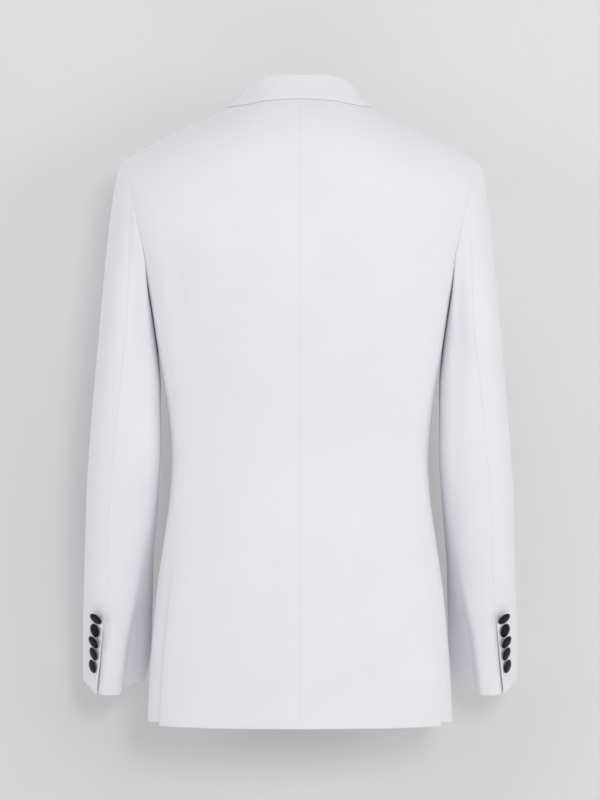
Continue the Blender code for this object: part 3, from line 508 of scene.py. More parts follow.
def armholeLoop():
    # the armhole as pairs, from the shoulder line behind to the shoulder line in front
    rows = [(i, *row) for i, row in enumerate(armhole["rows"])]
    ends, steps, marks = armhole["ends"], [], {}
    for part, start, end in zip(armhole["steps"], ends, ends[1:]):
        marks[part] = len(steps)
        count = armhole["steps"][part] * fine
        steps += [blend(start, end, k / count) for k in range(count)]
    marks["end"] = len(steps)
    steps.append(ends[-1])
    angle = np.radians(curve(rows, 1, steps))
    loop = atLevel(angle, curve(rows, 2, steps))
    loop[0, 1] = loop[-1, 1] = 0.0
    return loop, marks


sleeve = {
    # level: outer, inner, back, front, angle of the elbow seam, tilt, angle of the soft crease on
    # the inner side, and how flat (or, under 0, how full) the cloth is beyond seam and crease
    "rows": [
        (-300.0, 247.0, 175.2, 70.0, -70.0, -2.0, 0.00, -25.0, 0.0, -0.85),
        (-340.0, 250.5, 171.6, 66.0, -63.0, 4.0, 0.01, -25.0, 0.0, -0.8),
        (-385.0, 254.5, 171.2, 63.0, -56.0, 8.0, 0.02, -25.0, 0.0, -0.65),
        (-430.0, 258.0, 170.8, 58.0, -53.0, 11.5, 0.04, -28.0, 0.0, -0.5),
        (-475.0, 261.5, 173.3, 50.0, -56.0, 13.7, 0.07, -35.0, 0.0, -0.3),
        (-520.0, 263.5, 177.1, 41.0, -62.0, 13.7, 0.11, -36.0, 0.0, -0.05),
        (-563.0, 265.5, 181.0, 32.0, -69.0, 13.1, 0.16, -33.0, 0.0, 0.35),
        (-605.0, 267.5, 182.5, 24.0, -76.0, 13.9, 0.20, -22.0, 0.0, 0.75),
        (-641.0, 269.5, 184.2, 16.0, -83.0, 19.0, 0.24, -11.0, 0.4, 1.0),
        (-677.0, 270.5, 186.0, 9.0, -90.0, 23.8, 0.27, -5.0, 0.8, 1.1),
        (-714.5, 271.0, 192.8, 2.0, -98.0, 28.1, 0.24, -6.0, 1.0, 1.2)],
    "flatEnds": (90.0, -92.0),  # angles at which the cloth beyond seam and crease is round again
    "flatSoft": (0.01, 0.35),   # how softly it turns into the flat, as a share of the way
    "flatMost": 1.4,
    "fullMost": 0.9,
    "roundness": 0.92,          # 1 is an ellipse, less is squarer
    "capShares": (0.0, 0.05, 0.13, 0.25, 0.41, 0.6, 0.8),
    "leave": (0.06, 0.51, 0.002, 0.77),     # way out of the armhole: out, more at the top, back, down
    "leaveLength": 0.30,
    "ventRows": 3,
    "ventStep": 4.4,
    "stepFade": [(0.0, 1.0), (0.3, 0.95), (0.8, 0.12), (1.4, 0.0)],     # column and share of the step
    "underlap": 17.0,
    "lapShort": 0.4,
    "frontSeam": 206.0,
    "flat": (0.25, 0.66),
    "underFlat": (0.19, 0.56),
}


def roundPoint(z, turn):
    rows = sleeve["rows"]
    outer, inner, back, front = (curve(rows, k, z) for k in (1, 2, 3, 4))
    x = (outer + inner) / 2 + (outer - inner) / 2 * signedPower(np.sin(turn), sleeve["roundness"])
    reach = (back - front) / 2 * signedPower(np.cos(turn), sleeve["roundness"])
    return np.stack([x, (back + front) / 2 + reach, z - curve(rows, 6, z) * reach], axis=-1)


def ringPoint(z, turn):
    # the rounded section, pressed towards straight lines beside the vent and on the inner side
    rows, turn = sleeve["rows"], np.asarray(turn, float)
    point = roundPoint(z, turn)
    for startColumn, flatColumn, end, soft in zip((5, 7), (8, 9), sleeve["flatEnds"], sleeve["flatSoft"]):
        start, end = np.radians(curve(rows, startColumn, z)) + 0.0 * turn, radians(end) + 0.0 * turn
        share = (turn - start) / (end - start)
        flat = np.clip(curve(rows, flatColumn, z), -sleeve["fullMost"], sleeve["flatMost"])
        flat = flat * smooth(share / soft) * (share < 1.0)
        straight = blend(roundPoint(z, start), roundPoint(z, end), share[..., None])
        point = blend(point, straight, flat[..., None])
    return point


def ringNormal(z, turn, step):
    across = ringPoint(z, turn + step) - ringPoint(z, turn - step)
    down = ringPoint(z - 1.0, turn) - ringPoint(z + 1.0, turn)
    return unit(np.cross(across, down))


def sleeveTurns(marks, z):
    # turn of every lengthwise line at one level
    elbow, top = np.radians(curve(sleeve["rows"], 5, z)), pi / 2
    front = radians(sleeve["frontSeam"] - 360)
    count, back, cap = marks["end"], marks["back"], marks["capFront"]
    index = np.arange(count)
    return np.where(index <= back, blend(top, elbow, index / back), np.where(
        index <= cap, blend(elbow, front, (index - back) / (cap - back)),
        blend(front, top - 2 * pi, (index - cap) / (count - cap))))


def sleeveGrid(loop, marks):
    levels = [row[0] for row in sleeve["rows"]]
    starts = bodyPoint(loop[:-1, 0], loop[:-1, 1])
    low, high = starts[:, 2].min(), starts[:, 2].max()
    end = ringPoint(np.full(len(starts), levels[0]), sleeveTurns(marks, levels[0]))
    after = ringPoint(np.full(len(starts), levels[1]), sleeveTurns(marks, levels[1]))
    length = np.linalg.norm(end - starts, axis=-1)[:, None]
    height = (starts[:, 2] - low) / (high - low)
    out, outAtTop, back, down = sleeve["leave"]
    leave = unit(np.stack([out + outAtTop * height ** 2, back * starts[:, 1] * (1 - height),
                           np.full(len(starts), -down)], axis=-1))
    arrive = unit(after - end)
    shares = list(sleeve["capShares"]) + [1.0]
    grid, rowLevels = [], []
    for k in range(len(sleeve["capShares"]) * fine):
        t = np.interp(k / fine, range(len(shares)), shares)
        grid.append(path(starts, end, leave * length * sleeve["leaveLength"], arrive * length, t))
        rowLevels.append(levels[0] + 1.0)
    for k in range((len(levels) - 1) * fine + 1):
        z = float(np.interp(k / fine, range(len(levels)), levels))
        grid.append(ringPoint(np.full(len(starts), z), sleeveTurns(marks, z)))
        rowLevels.append(z)
    return np.array(grid), np.array(rowLevels)


def tubeNormals(grid):
    across = np.roll(grid, -1, axis=1) - np.roll(grid, 1, axis=1)
    down = np.empty_like(grid)
    down[1:-1] = grid[2:] - grid[:-2]
    down[0], down[-1] = grid[1] - grid[0], grid[-1] - grid[-2]
    return unit(np.cross(down, across))


def armholeRims(loop, sleeveNormals):
    # directions into the cloth along the armhole, of the body and of the sleeve
    body = bodyNormal(loop[:, 0], loop[:, 1])
    own = np.concatenate([sleeveNormals, sleeveNormals[:1]])
    shared = -unit(body + own)
    start, end = armhole["shared"]
    share = smooth(((body * own).sum(-1) - start) / (end - start))[:, None]
    return unit(blend(-body, shared, share)), unit(blend(-own, shared, share))


loop, marks = armholeLoop()
tube, tubeLevels = sleeveGrid(loop, marks)
tubeOut = tubeNormals(tube)
bodyRim, sleeveRim = armholeRims(loop, tubeOut[0])


back = {
    "seams": [   # level, angle of the seam to the back, angle of the seam to the front
        (-749.0, 65.0, 113.0), (-550.0, 63.5, 113.5), (-430.0, 65.0, 114.0),
        (-310.0, 68.0, 111.5), (-212.0, 75.0, 108.0)],
    "ventRows": 4,
    "seamRows": 8,
    "neckHalfWidth": 73.0,
    "neckBackReach": 65.0,
    "shoulderColumns": 6,
    "neckColumns": 6,
    "hemDip": 3.5,              # the hem hangs this much lower at the vent
    "evenRows": 8,
    "evenRounds": 150,
    "flat": (0.30, 0.79),
}


def seamLevels(endLevel):
    vent = np.linspace(cloth["hem"], cloth["ventTop"], back["ventRows"] * fine, endpoint=False)
    return np.concatenate([vent, np.linspace(cloth["ventTop"], endLevel, back["seamRows"] * fine + 1)])


def sideSeam(column, row):
    # pairs up a seam, from the hem to a row of the armhole
    endAngle, endLevel = armhole["rows"][row]
    levels = seamLevels(endLevel)
    angles = np.radians(curve(back["seams"], column, levels))
    angles[-1] = radians(endAngle)
    return atLevel(angles, levels)


def neckPairs(shares):
    turn = np.asarray(shares) * pi / 2
    x = back["neckHalfWidth"] * np.sin(turn)
    reach = back["neckBackReach"] * np.cos(turn)
    angle = angleAt(x, np.zeros_like(x), False)
    full = (curve(bodyShape["rows"], 4, 0.0) - bodyShape["ridge"]
            + curve(bodyShape["rows"], 2, 0.0) * np.cos(angle) ** bodyShape["backPowers"][-1][1])
    return np.stack([angle, bodyShape["shoulderRound"] * np.arcsin(reach / full)], axis=-1)


def shoulderPairs(columns, front):
    top = radians(armhole["rows"][0][0])
    outer = bodyPoint(top, 0.0)[0]
    x = np.linspace(back["neckHalfWidth"], outer, columns * fine + 1)
    angle = angleAt(x, shoulderHeight(x), front)
    angle[-1] = pi - top if front else top
    return np.stack([angle, np.zeros_like(angle)], axis=-1)


def setRim(sheet, places, rims):
    # points at the armhole face along the rim that body and sleeve share
    for (j, i), rim in zip(places, rims):
        sheet.inwards[j, i] = rim
        sheet.points[j, i] = sheet.points[j, i] + rim * cloth["seamHalf"]


def backPanels():
    seam = sideSeam(1, armhole["ends"][2])
    hole = loop[marks["side"]::-1]
    right = np.concatenate([seam, hole[1:]])
    steps = len(hole) - 1
    levels = seamLevels(armhole["rows"][armhole["ends"][2]][1])
    nape = neckPairs([0.0])[0]
    drops = dropAt(0.0, levels)
    drops = np.concatenate([drops, blend(drops[-1], nape[1], np.arange(1, steps + 1) / steps)])
    left = np.stack([np.zeros_like(drops), drops], axis=-1)
    count = back["neckColumns"] * fine
    top = np.concatenate([neckPairs(np.arange(count) / count),
                          shoulderPairs(back["shoulderColumns"], False)])
    bottom = atLevel(np.linspace(0.0, seam[0, 0], len(top)), cloth["hem"])
    pairs = patch(bottom, top, left, right)
    # the grid is evened out below the corner between the neck and the shoulder
    near = pairs[-back["evenRows"] * fine:]
    for _ in range(back["evenRounds"]):
        near[1:-1, 1:-1] = (near[:-2, 1:-1] + near[2:, 1:-1] + near[1:-1, :-2] + near[1:-1, 2:]) / 4.0
    sheet = Sheet(*bodyCloth(pairs))
    low = np.clip(1.0 - np.arange(len(right)) / fine, 0.0, 1.0)[:, None]
    sheet.points[..., 2] -= back["hemDip"] * low * np.linspace(0.0, 1.0, len(top)) ** 2
    sheet.trim()
    first = len(seam) - 1
    setRim(sheet, [(first + k, -1) for k in range(steps + 1)], bodyRim[marks["side"]::-1])
    sewn = np.arange(len(right)) >= back["ventRows"] * fine
    sheet.rollAll(left=1.0, right=sewn, bottom=0.0, top=edgeRoll["armhole"])
    drape(sheet)
    addPair("back", sheet, sheet.mirrored(), back["flat"])


backPanels()
print("back made")


side = {
    "ventStep": 4.5,            # the panel stands this far behind the back panel's face
    "stepFade": [(0.0, 1.0), (1.0, 0.35), (2.0, 0.0)],      # column and share of the step
    "hemLift": 1.0,             # its hem is this much higher beside the back
    "hemDip": 4.0,              # and this much lower half-way to the front
    "underlap": 10.0,           # degrees of body that the vent's underlap goes on for
    "lapShort": 1.0,            # it ends this many steps of the pattern below the vent's top
    "flat": (0.17, 0.56),
}


def sidePanels():
    seamBack, seamFront = sideSeam(1, armhole["ends"][2]), sideSeam(2, armhole["ends"][3])
    top = loop[marks["side"]:marks["front"] + 1]
    bottom = atLevel(np.linspace(seamBack[0, 0], seamFront[0, 0], len(top)), cloth["hem"])
    pairs = patch(bottom, top, seamBack, seamFront)
    sheet = Sheet(*bodyCloth(pairs))
    sheet.trim()
    setRim(sheet, [(-1, i) for i in range(len(top))], bodyRim[marks["side"]:marks["front"] + 1])
    patternRow = np.arange(len(pairs)) / fine
    step = side["ventStep"] * smooth(back["ventRows"] - patternRow)[:, None]
    sheet.press(step * np.interp(np.arange(len(top)) / fine, *zip(*side["stepFade"]))[None])
    low = np.clip(1.0 - patternRow, 0.0, 1.0)[:, None]
    across = np.linspace(0.0, 1.0, len(top))
    sheet.points[..., 2] += low * (side["hemLift"] * (1.0 - across)
                                   - side["hemDip"] * np.sin(pi * across))
    sewn = patternRow > back["ventRows"] - side["lapShort"]
    sheet.rollAll(right=1.0, left=sewn, top=edgeRoll["armhole"], bottom=0.0)
    ownRow = np.pad(patternRow, edgeLines - 1, "edge")      # with the lines that the rolls add

    # the underlap goes on behind the back panel as far as the vent does
    lapCount = cloth["lapColumns"]
    levels = sheet.points[:, 0, 2]
    angles = (np.radians(curve(back["seams"], 1, levels))[:, None]
              - radians(side["underlap"]) * np.linspace(1.0, 0.0, lapCount, endpoint=False)[None])
    points, inwards = bodyCloth(atLevel(angles, levels[:, None]))
    step = side["ventStep"] * smooth(back["ventRows"] - ownRow)
    inLap = ownRow <= back["ventRows"] - side["lapShort"]
    sheet.sink[inLap, :edgeLines] = 0.0
    whole = sheet.withLap(points + inwards * step[:, None, None], inwards)
    whole.sink[0] = sheet.sink[0, -1]
    whole.sink[inLap, 0] = np.maximum(whole.sink[inLap, 0], edgeRoll["free"][0])
    used = whole.cells()
    used[~inLap[1:], :lapCount] = False
    drape(whole)
    addPair("side", whole, whole.mirrored(), side["flat"], used=used)


sidePanels()
print("side panels made")


front = {
    "quarter": [   # level and distance from the middle of the front edge, up to the break
        (-764.0, 124.0), (-761.0, 102.0), (-751.0, 83.0), (-733.0, 67.0), (-704.0, 52.0),
        (-664.0, 37.0), (-615.0, 21.0), (-560.0, 5.0), (-497.0, -8.5), (-430.0, -15.0)],
    "rollLine": [
        (-430.0, -15.0), (-390.0, -7.5), (-330.0, 5.0), (-230.0, 27.0), (-130.0, 49.0),
        (-98.0, 56.0), (-60.0, 64.0), (-30.0, 71.0)],
    "lapelTop": -98.0,
    "columns": 8,
    "neckRows": 6,
    "neckSwell": 2.5,
    "tuck": 6.0,                # the right front goes this far behind the left where they lap
    "tuckSpan": (58.0, 18.0),
    "tuckLevels": (-250.0, -370.0),
    "flat": (0.33, 0.78),
}


def edgePairs(rows, levels):
    return placeOnBody(curve(rows, 1, levels), np.asarray(levels, float))


def frontNeckPairs(shares):
    shares = np.asarray(shares, float)
    gorge = edgePairs(front["rollLine"], [front["lapelTop"]])[0]
    drop = gorge[1] * shares
    low = float(curve(front["rollLine"], 1, front["lapelTop"]))
    x = blend(back["neckHalfWidth"], low, shares) + front["neckSwell"] * np.sin(pi * shares)
    return np.stack([angleAt(x, shoulderHeight(x) - dropToFall(drop), True), drop], axis=-1)


def tucked(sheet):
    near, far = front["tuckSpan"]
    high, low = front["tuckLevels"]
    across = smooth((near - sheet.points[..., 0]) / (near - far))
    down = smooth((high - sheet.points[..., 2]) / (high - low))
    other = sheet.mirrored()
    other.press(front["tuck"] * across * down)
    return other


def frontPanels():
    seam = sideSeam(2, armhole["ends"][3])
    hole = loop[marks["front"]:]
    right = np.concatenate([seam, hole[1:]])
    rows = (len(right) - 1) // fine
    quarter = [(i, *row) for i, row in enumerate(front["quarter"])]
    at = np.arange((len(quarter) - 1) * fine + 1) / fine
    edge = placeOnBody(curve(quarter, 2, at), curve(quarter, 1, at))
    rollRows = rows - len(quarter) + 1 - front["neckRows"]
    shares = np.arange(1, rollRows * fine) / (rollRows * fine)
    roll = edgePairs(front["rollLine"], blend(cloth["breakLevel"], front["lapelTop"], shares))
    neck = frontNeckPairs(1.0 - np.arange(front["neckRows"] * fine) / (front["neckRows"] * fine))
    top = shoulderPairs(front["columns"], True)
    left = np.concatenate([edge, roll, neck, top[:1]])
    share = np.linspace(0.0, 1.0, front["columns"] * fine + 1)
    angles = blend(left[0, 0], seam[0, 0], share)
    levels = blend(front["quarter"][0][0], cloth["hem"], smooth(share))
    sheet = Sheet(*bodyCloth(patch(atLevel(angles, levels), top, left, right)))
    sheet.trim()
    first = len(seam) - 1
    setRim(sheet, [(first + k, -1) for k in range(len(hole))], bodyRim[marks["front"]:])
    sheet.rollAll(left=0.0, right=1.0, bottom=0.0, top=edgeRoll["armhole"])
    addPair("front", sheet, tucked(sheet), front["flat"])


frontPanels()
print("fronts made")

lapel = {
    "edge": [
        (-424.0, -9.5), (-400.0, 6.0), (-350.0, 38.0), (-300.0, 64.0), (-250.0, 86.0),
        (-200.0, 104.0), (-150.0, 119.0), (-105.0, 132.0), (-72.0, 141.0)],
    "notch": (-84.0, 101.0),
    "rows": 12,
    "columns": (3, 3),          # from the roll line to the notch, and on to the peak
    "gap": 0.9,
    "rise": 2.6,
    "riseAt": 34.0,
    "pressed": 80.0,
    "flat": (0.12, 0.36),
}


def lapels():
    count = lapel["rows"] * fine + 1
    left = edgePairs(front["rollLine"], np.linspace(lapel["edge"][0][0], front["lapelTop"], count))
    right = edgePairs(lapel["edge"], np.linspace(lapel["edge"][0][0], lapel["edge"][-1][0], count))
    corner = placeOnBody(lapel["notch"][1], lapel["notch"][0])
    inner, outer = (n * fine for n in lapel["columns"])
    toNotch = blend(left[-1][None], corner[None], (np.arange(inner) / inner)[:, None])
    toPeak = blend(corner[None], right[-1][None], (np.arange(outer + 1) / outer)[:, None])
    top = np.concatenate([toNotch, toPeak])
    bottom = blend(left[0][None], right[0][None], np.linspace(0, 1, len(top))[:, None])
    sheet = Sheet(*bodyCloth(patch(bottom, top, left, right)))
    start = sheet.points[:, :1]
    free = smooth((start[..., 2] - cloth["breakLevel"]) / lapel["pressed"])
    away = np.linalg.norm(sheet.points - start, axis=-1)
    rise = (lapel["rise"] - lapel["gap"]) * free * smooth(away / lapel["riseAt"])
    sheet.press(-(cloth["thickness"] + lapel["gap"] + rise))
    sheet.pull("top", 2 * cloth["seamHalf"])
    sheet.rollAll(left=0.0, right=0.0, bottom=0.0, top=0.0)
    addPair("lapel", sheet, tucked(sheet), lapel["flat"], held="folded")


lapels()
print("lapels made")


# stand and fall are one folded sheet
collar = {
    # station from centre back (0) over shoulder (1) to gorge (2), then the fold's rise, lean to the
    # neck and height over the cloth, and how close the leaf lies to the body
    "rows": [
        (0.0, 28.4, 14.0, 0.0, 0.0), (0.5, 27.4, 14.0, 0.0, 1.5), (0.75, 25.8, 14.0, 0.0, 3.0),
        (1.0, 24.5, 13.0, 0.0, 4.2), (1.35, 10.0, 8.5, 1.5, 0.8), (1.7, 2.4, 6.0, 2.6, 0.0),
        (2.0, 0.0, 3.2, 2.9, 0.0)],
    "columns": (6, 6),
    "fold": 2.9,
    "foldInside": 0.8,          # reach of the fold on its inner side, as a share of the fold
    "foldOutside": 0.6,         # and its drop on the outer side
    "leafHalfWidth": 87.5,
    "leafBackLevel": -6.5,
    "leafPower": 0.85,          # 1 is round, less is squarer
    "leafSwell": 5.0,
    "leafTurn": 0.6,            # share of the way that the fold turns with the body in front
    "belly": 0.2,
    "leafOff": 2.25,
    "leafOffFront": 2.1,
    "around": 34,               # points across the sheet from its foot to the leaf's edge
    "flat": (0.56, 0.11),
}


def through(points, count):
    # a smooth line through the middle axis of an array of points
    steps = np.linalg.norm(np.diff(points, axis=1), axis=-1).mean(axis=0)
    keys = np.concatenate([[0.0], np.cumsum(steps)])
    at = np.linspace(0.0, keys[-1], count)
    made = np.empty((points.shape[0], count, 3))
    for j in range(points.shape[0]):
        for axis in range(3):
            made[j, :, axis] = curve(list(zip(keys, points[j, :, axis])), 1, at)
    return made


def collarHalf():
    backCount, frontCount = (n * fine for n in collar["columns"])
    station = np.concatenate([np.arange(backCount + 1) / backCount,
                              1.0 + np.arange(1, frontCount + 1) / frontCount])
    behind = station <= 1.0
    share = np.clip(station, 0, 1)
    past = np.clip(station - 1.0, 0, 1)
    base = np.where(behind[:, None], neckPairs(share), frontNeckPairs(past))
    notch = placeOnBody(lapel["notch"][1], lapel["notch"][0])
    # the leaf's edge, round behind and on to the notch in front
    turn = share * pi / 2
    leafBack = dropAt(0.0, collar["leafBackLevel"])
    backDrop = leafBack * np.maximum(np.cos(turn), 0.0) ** collar["leafPower"]
    backX = collar["leafHalfWidth"] * np.sin(turn)
    frontX = (blend(collar["leafHalfWidth"], lapel["notch"][1], past)
              + collar["leafSwell"] * np.sin(pi * past))
    frontDrop = notch[1] * past
    frontLevel = shoulderHeight(frontX) - dropToFall(frontDrop)
    leafAngle = np.where(behind, angleAt(backX, np.full_like(backX, collar["leafBackLevel"]), False),
                         angleAt(frontX, frontLevel, True))
    leafDrop = np.where(behind, backDrop, frontDrop)
    normal, leafNormal = bodyNormal(base[:, 0], base[:, 1]), bodyNormal(leafAngle, leafDrop)
    # the foot of the stand is inside the neck behind and meets the front's edge at the gorge
    surface = bodyPoint(base[:, 0], base[:, 1])
    foot = surface - normal * cloth["thickness"]
    inward = unit(np.stack([-foot[:, 0], bodyShape["ridge"] - foot[:, 1], np.zeros(len(foot))], axis=-1))
    toward = np.where(behind[:, None], inward, (-1.0, 0.0, 0.0))
    turned = (smooth(past) * pi / 2)[:, None]
    foot = foot + toward * (cloth["thickness"] * np.sin(turned)
                            + 2 * cloth["seamHalf"] * smooth(past)[:, None])
    rise, lean, proud, hug = (curve(collar["rows"], k, station)[:, None] for k in (1, 2, 3, 4))
    up = np.array((0.0, 0.0, 1.0))
    fold = surface + normal * proud + up * rise + toward * lean
    past = past[:, None]
    out = unit(blend(-toward, leafNormal, collar["leafTurn"] * past))
    crown = unit(up * (1.0 - past) + normal * past + toward * past)
    off = collar["leafOff"] + collar["leafOffFront"] * smooth(past)
    edge = bodyPoint(leafAngle, leafDrop) + leafNormal * off
    foot = foot + unit(fold - foot) * cloth["seamHalf"]
    innerFold = fold - (out * collar["foldInside"] + crown) * collar["fold"]
    outerFold = fold + (out - crown * collar["foldOutside"]) * collar["fold"]
    # half-way between fold and edge the leaf keeps clear of the cloth below it
    underAngle, underDrop = blend(base[:, 0], leafAngle, 0.5), blend(base[:, 1], leafDrop, 0.5)
    underNormal = bodyNormal(underAngle, underDrop)
    belly = blend(outerFold, edge, 0.5) + unit(leafNormal + out) * (collar["belly"] - hug)
    short = ((bodyPoint(underAngle, underDrop) - belly) * underNormal).sum(-1, keepdims=True)
    belly = belly + underNormal * np.maximum(short + off + collar["belly"], 0.0)
    lines = np.stack([foot, blend(foot, innerFold, 0.5), innerFold, fold, outerFold, belly, edge], axis=1)
    return lines, normal * np.cos(turned) - toward * np.sin(turned)


def collarPiece():
    half, rims = collarHalf()
    lines = np.concatenate([half[:0:-1] * (-1, 1, 1), half])
    rims = np.concatenate([rims[:0:-1] * (-1, 1, 1), rims])
    points = through(lines, collar["around"])
    across = np.gradient(points, axis=1)
    along = np.gradient(points, axis=0)
    inwards = -unit(np.cross(along, across))
    inwards[:, 0] = rims
    sheet = Sheet(np.swapaxes(points, 0, 1).copy(), np.swapaxes(inwards, 0, 1).copy())
    sheet.pull("left", 2 * cloth["seamHalf"])
    sheet.pull("right", 2 * cloth["seamHalf"])
    sheet.rollAll(left=0.0, right=0.0, top=0.0)
    addCloth("collarCloth", sheet, collar["flat"], node="collar", held="folded")


collarPiece()
print("collar made")


def sleevePieces():
    inwards = -tubeOut
    inwards[0] = sleeveRim[:-1]
    count, elbow, fore = marks["end"], marks["back"], marks["capFront"]

    def cut(columns):
        sheet = Sheet(tube[:, columns].copy(), inwards[:, columns].copy())
        sheet.trim()
        sheet.points[0] = sheet.points[0] + sheet.inwards[0] * cloth["seamHalf"]
        return sheet

    patternRow = (len(tube) - 1 - np.arange(len(tube))) / fine
    topSheet = cut([i % count for i in range(fore, elbow + count + 1)])
    sewn = patternRow >= sleeve["ventRows"]
    topSheet.rollAll(left=1.0, right=sewn, bottom=edgeRoll["armhole"], top=0.0)
    addPair("topSleeve", topSheet, topSheet.mirrored(), sleeve["flat"])

    underSheet = cut(list(range(elbow, fore + 1)))
    step = sleeve["ventStep"] * smooth(sleeve["ventRows"] - patternRow)[:, None]
    patternColumn = np.arange(underSheet.points.shape[1]) / fine
    underSheet.press(step * np.interp(patternColumn, *zip(*sleeve["stepFade"]))[None])
    underSheet.rollAll(right=1.0, left=1.0)
    inLap = patternRow <= sleeve["ventRows"] - sleeve["lapShort"]
    lapCount = cloth["lapColumns"]
    levels = np.where(inLap, tubeLevels, sleeve["rows"][-1][0])
    turns = (np.radians(curve(sleeve["rows"], 5, levels))[:, None]
             + radians(sleeve["underlap"]) * np.linspace(1.0, 0.0, lapCount, endpoint=False)[None])
    grid = np.repeat(levels[:, None], lapCount, 1)
    lapInwards = -ringNormal(grid, turns, 0.01)
    underSheet.sink[inLap, :edgeLines] = 0.0
    whole = underSheet.withLap(ringPoint(grid, turns) + lapInwards * step[..., None], lapInwards)
    whole.sink[inLap, 0] = edgeRoll["free"][0]
    used = whole.cells()
    used[~inLap[:-1], :lapCount] = False
    used = np.pad(used, ((edgeLines - 1, edgeLines - 1), (0, 0)), "edge")
    whole.rollAll(bottom=edgeRoll["armhole"], top=0.0)
    addCloth("underSleeveLeft", whole, sleeve["underFlat"], used=used)
    drape(whole)                # the folds of the back only just reach the right sleeve
    addCloth("underSleeveRight", whole.mirrored(), sleeve["underFlat"], used=used)


sleevePieces()
print("sleeves made")


buttons = {
    "cuff": [   # level, turn round the sleeve, and which way each face looks
        (-619.3, 26.5, 40.6, 37.8), (-635.6, 32.5, 45.9, 12.0), (-649.3, 32.7, 50.3, 24.8),
        (-664.2, 34.6, 56.4, 16.0), (-680.9, 38.1, 57.8, 11.0)],
    "cuffRadius": 8.6,
    "frontRadius": 10.0,
    "depth": 3.0,
    "dome": 0.72,               # share of the depth on the face's side of the rim
    "behind": 0.35,             # depth of the other side, against the face's
    "pleats": 26,               # the cloth gathers in small pleats round the rim
    "pleatDepth": 0.012,
    "pleatEnd": (0.9, 2.2),     # where they end on the face, and how fast
    "seat": 0.6,
    "shankRadius": 1.6,
    "frontShank": 1.0,
    "laidGap": 0.35,
    "cuffGap": 0.7,
}


def deselectAll():
    for piece in bpy.context.selected_objects:
        piece.select_set(False)


def chooseFaces(piece, test):
    # select the faces whose middle passes the test, in edit mode
    bpy.ops.object.mode_set(mode="OBJECT")
    for face in piece.data.polygons:
        face.select = test(face.center)
    for vertex in piece.data.vertices:
        vertex.select = False
    for edge in piece.data.edges:
        edge.select = False
    bpy.ops.object.mode_set(mode="EDIT")
    bpy.ops.mesh.select_mode(type="FACE")


def modelButton(radius, shank):
    # a flattened ball: domed face, soft rim, gathered back and a thread shank
    deselectAll()
    bpy.ops.mesh.primitive_uv_sphere_add(segments=40, ring_count=20, radius=radius * mm)
    piece = bpy.context.object
    bpy.ops.object.mode_set(mode="EDIT")
    bpy.ops.mesh.select_all(action="SELECT")
    bpy.ops.transform.resize(value=(1.0, 1.0, buttons["depth"] * buttons["dome"] / radius))
    chooseFaces(piece, lambda middle: middle.z < -0.02 * mm)        # all behind the rim
    bpy.ops.transform.resize(value=(1.0, 1.0, buttons["behind"]), center_override=(0.0, 0.0, 0.0))
    inShank = buttons["shankRadius"] * mm
    chooseFaces(piece, lambda middle: middle.z < 0 and middle.xy.length < inShank)
    bpy.ops.mesh.extrude_region_move(TRANSFORM_OT_translate={"value": (0.0, 0.0, -shank * mm)})
    bpy.ops.transform.resize(value=(1.0, 1.0, 0.0))
    bpy.ops.mesh.select_all(action="SELECT")
    bpy.ops.mesh.normals_make_consistent(inside=False)
    bpy.ops.transform.translate(value=(0.0, 0.0, buttons["depth"] * (1.0 - buttons["dome"]) * mm))
    bpy.ops.object.mode_set(mode="OBJECT")
    bpy.ops.object.modifier_add(type="SUBSURF")
    piece.modifiers[-1].levels = piece.modifiers[-1].render_levels = 1
    bpy.ops.object.modifier_apply(modifier=piece.modifiers[-1].name)
    start, fade = buttons["pleatEnd"]
    for vertex in piece.data.vertices:
        wave = np.sin(np.arctan2(vertex.co.y, vertex.co.x) * buttons["pleats"])
        out = min(vertex.co.xy.length / (radius * mm), 1.0)
        low = min(max(start - vertex.co.z / (buttons["depth"] * mm) * fade, 0.0), 1.0)
        vertex.co.xy *= 1.0 + buttons["pleatDepth"] * wave * low * out
    for layer in list(piece.data.uv_layers):
        piece.data.uv_layers.remove(layer)
    layer = piece.data.uv_layers.new(name="grain")
    for loopItem in piece.data.loops:
        co = piece.data.vertices[loopItem.vertex_index].co
        layer.data[loopItem.index].uv = (co.x, co.y)
    piece.data.shade_smooth()
    return piece


def placeButton(model, name, node, place, face):
    mesh = model.data.copy()
    mesh.name = name
    turn = Vector(face).to_track_quat("Z", "Y").to_matrix().to_4x4()
    mesh.transform(Matrix.Translation(Vector(place) * mm) @ turn)
    piece = bpy.data.objects.new(name, mesh)
    bpy.context.collection.objects.link(piece)
    dress(piece, node, blackSatin)


def cuffButtons():
    for number, (level, turn, out, tip) in enumerate(buttons["cuff"], start=1):
        turn, out, tip = radians(turn), radians(out), radians(tip)
        seat = ringPoint(level, turn)
        outward = ringNormal(level, turn, 0.02)
        face = np.array((np.sin(out) * np.cos(tip), np.cos(out) * np.cos(tip), -np.sin(tip)))
        lean = np.arccos(min(1.0, float(face @ outward)))
        lift = buttons["cuffRadius"] * np.sin(lean) + buttons["seat"]
        shank = lift / np.cos(lean) - buttons["shankRadius"] * np.tan(lean) - buttons["cuffGap"]
        centre = seat + outward * lift
        model = modelButton(buttons["cuffRadius"], float(shank))
        for end, sign in (("Left", 1.0), ("Right", -1.0)):
            flip = np.array((sign, 1.0, 1.0))
            placeButton(model, f"cuffButton{end}{number}", f"cuff_button_{end.lower()}_{number}",
                        centre * flip, face * flip)
        bpy.data.objects.remove(model)


def frontButton():
    pair = placeOnBody(0.0, cloth["breakLevel"])
    outward = bodyNormal(pair[0], pair[1])
    model = modelButton(buttons["frontRadius"], buttons["frontShank"])
    place = bodyPoint(pair[0], pair[1]) + outward * (buttons["frontShank"] + buttons["laidGap"])
    placeButton(model, "frontButton", "front_button", place, outward)
    bpy.data.objects.remove(model)


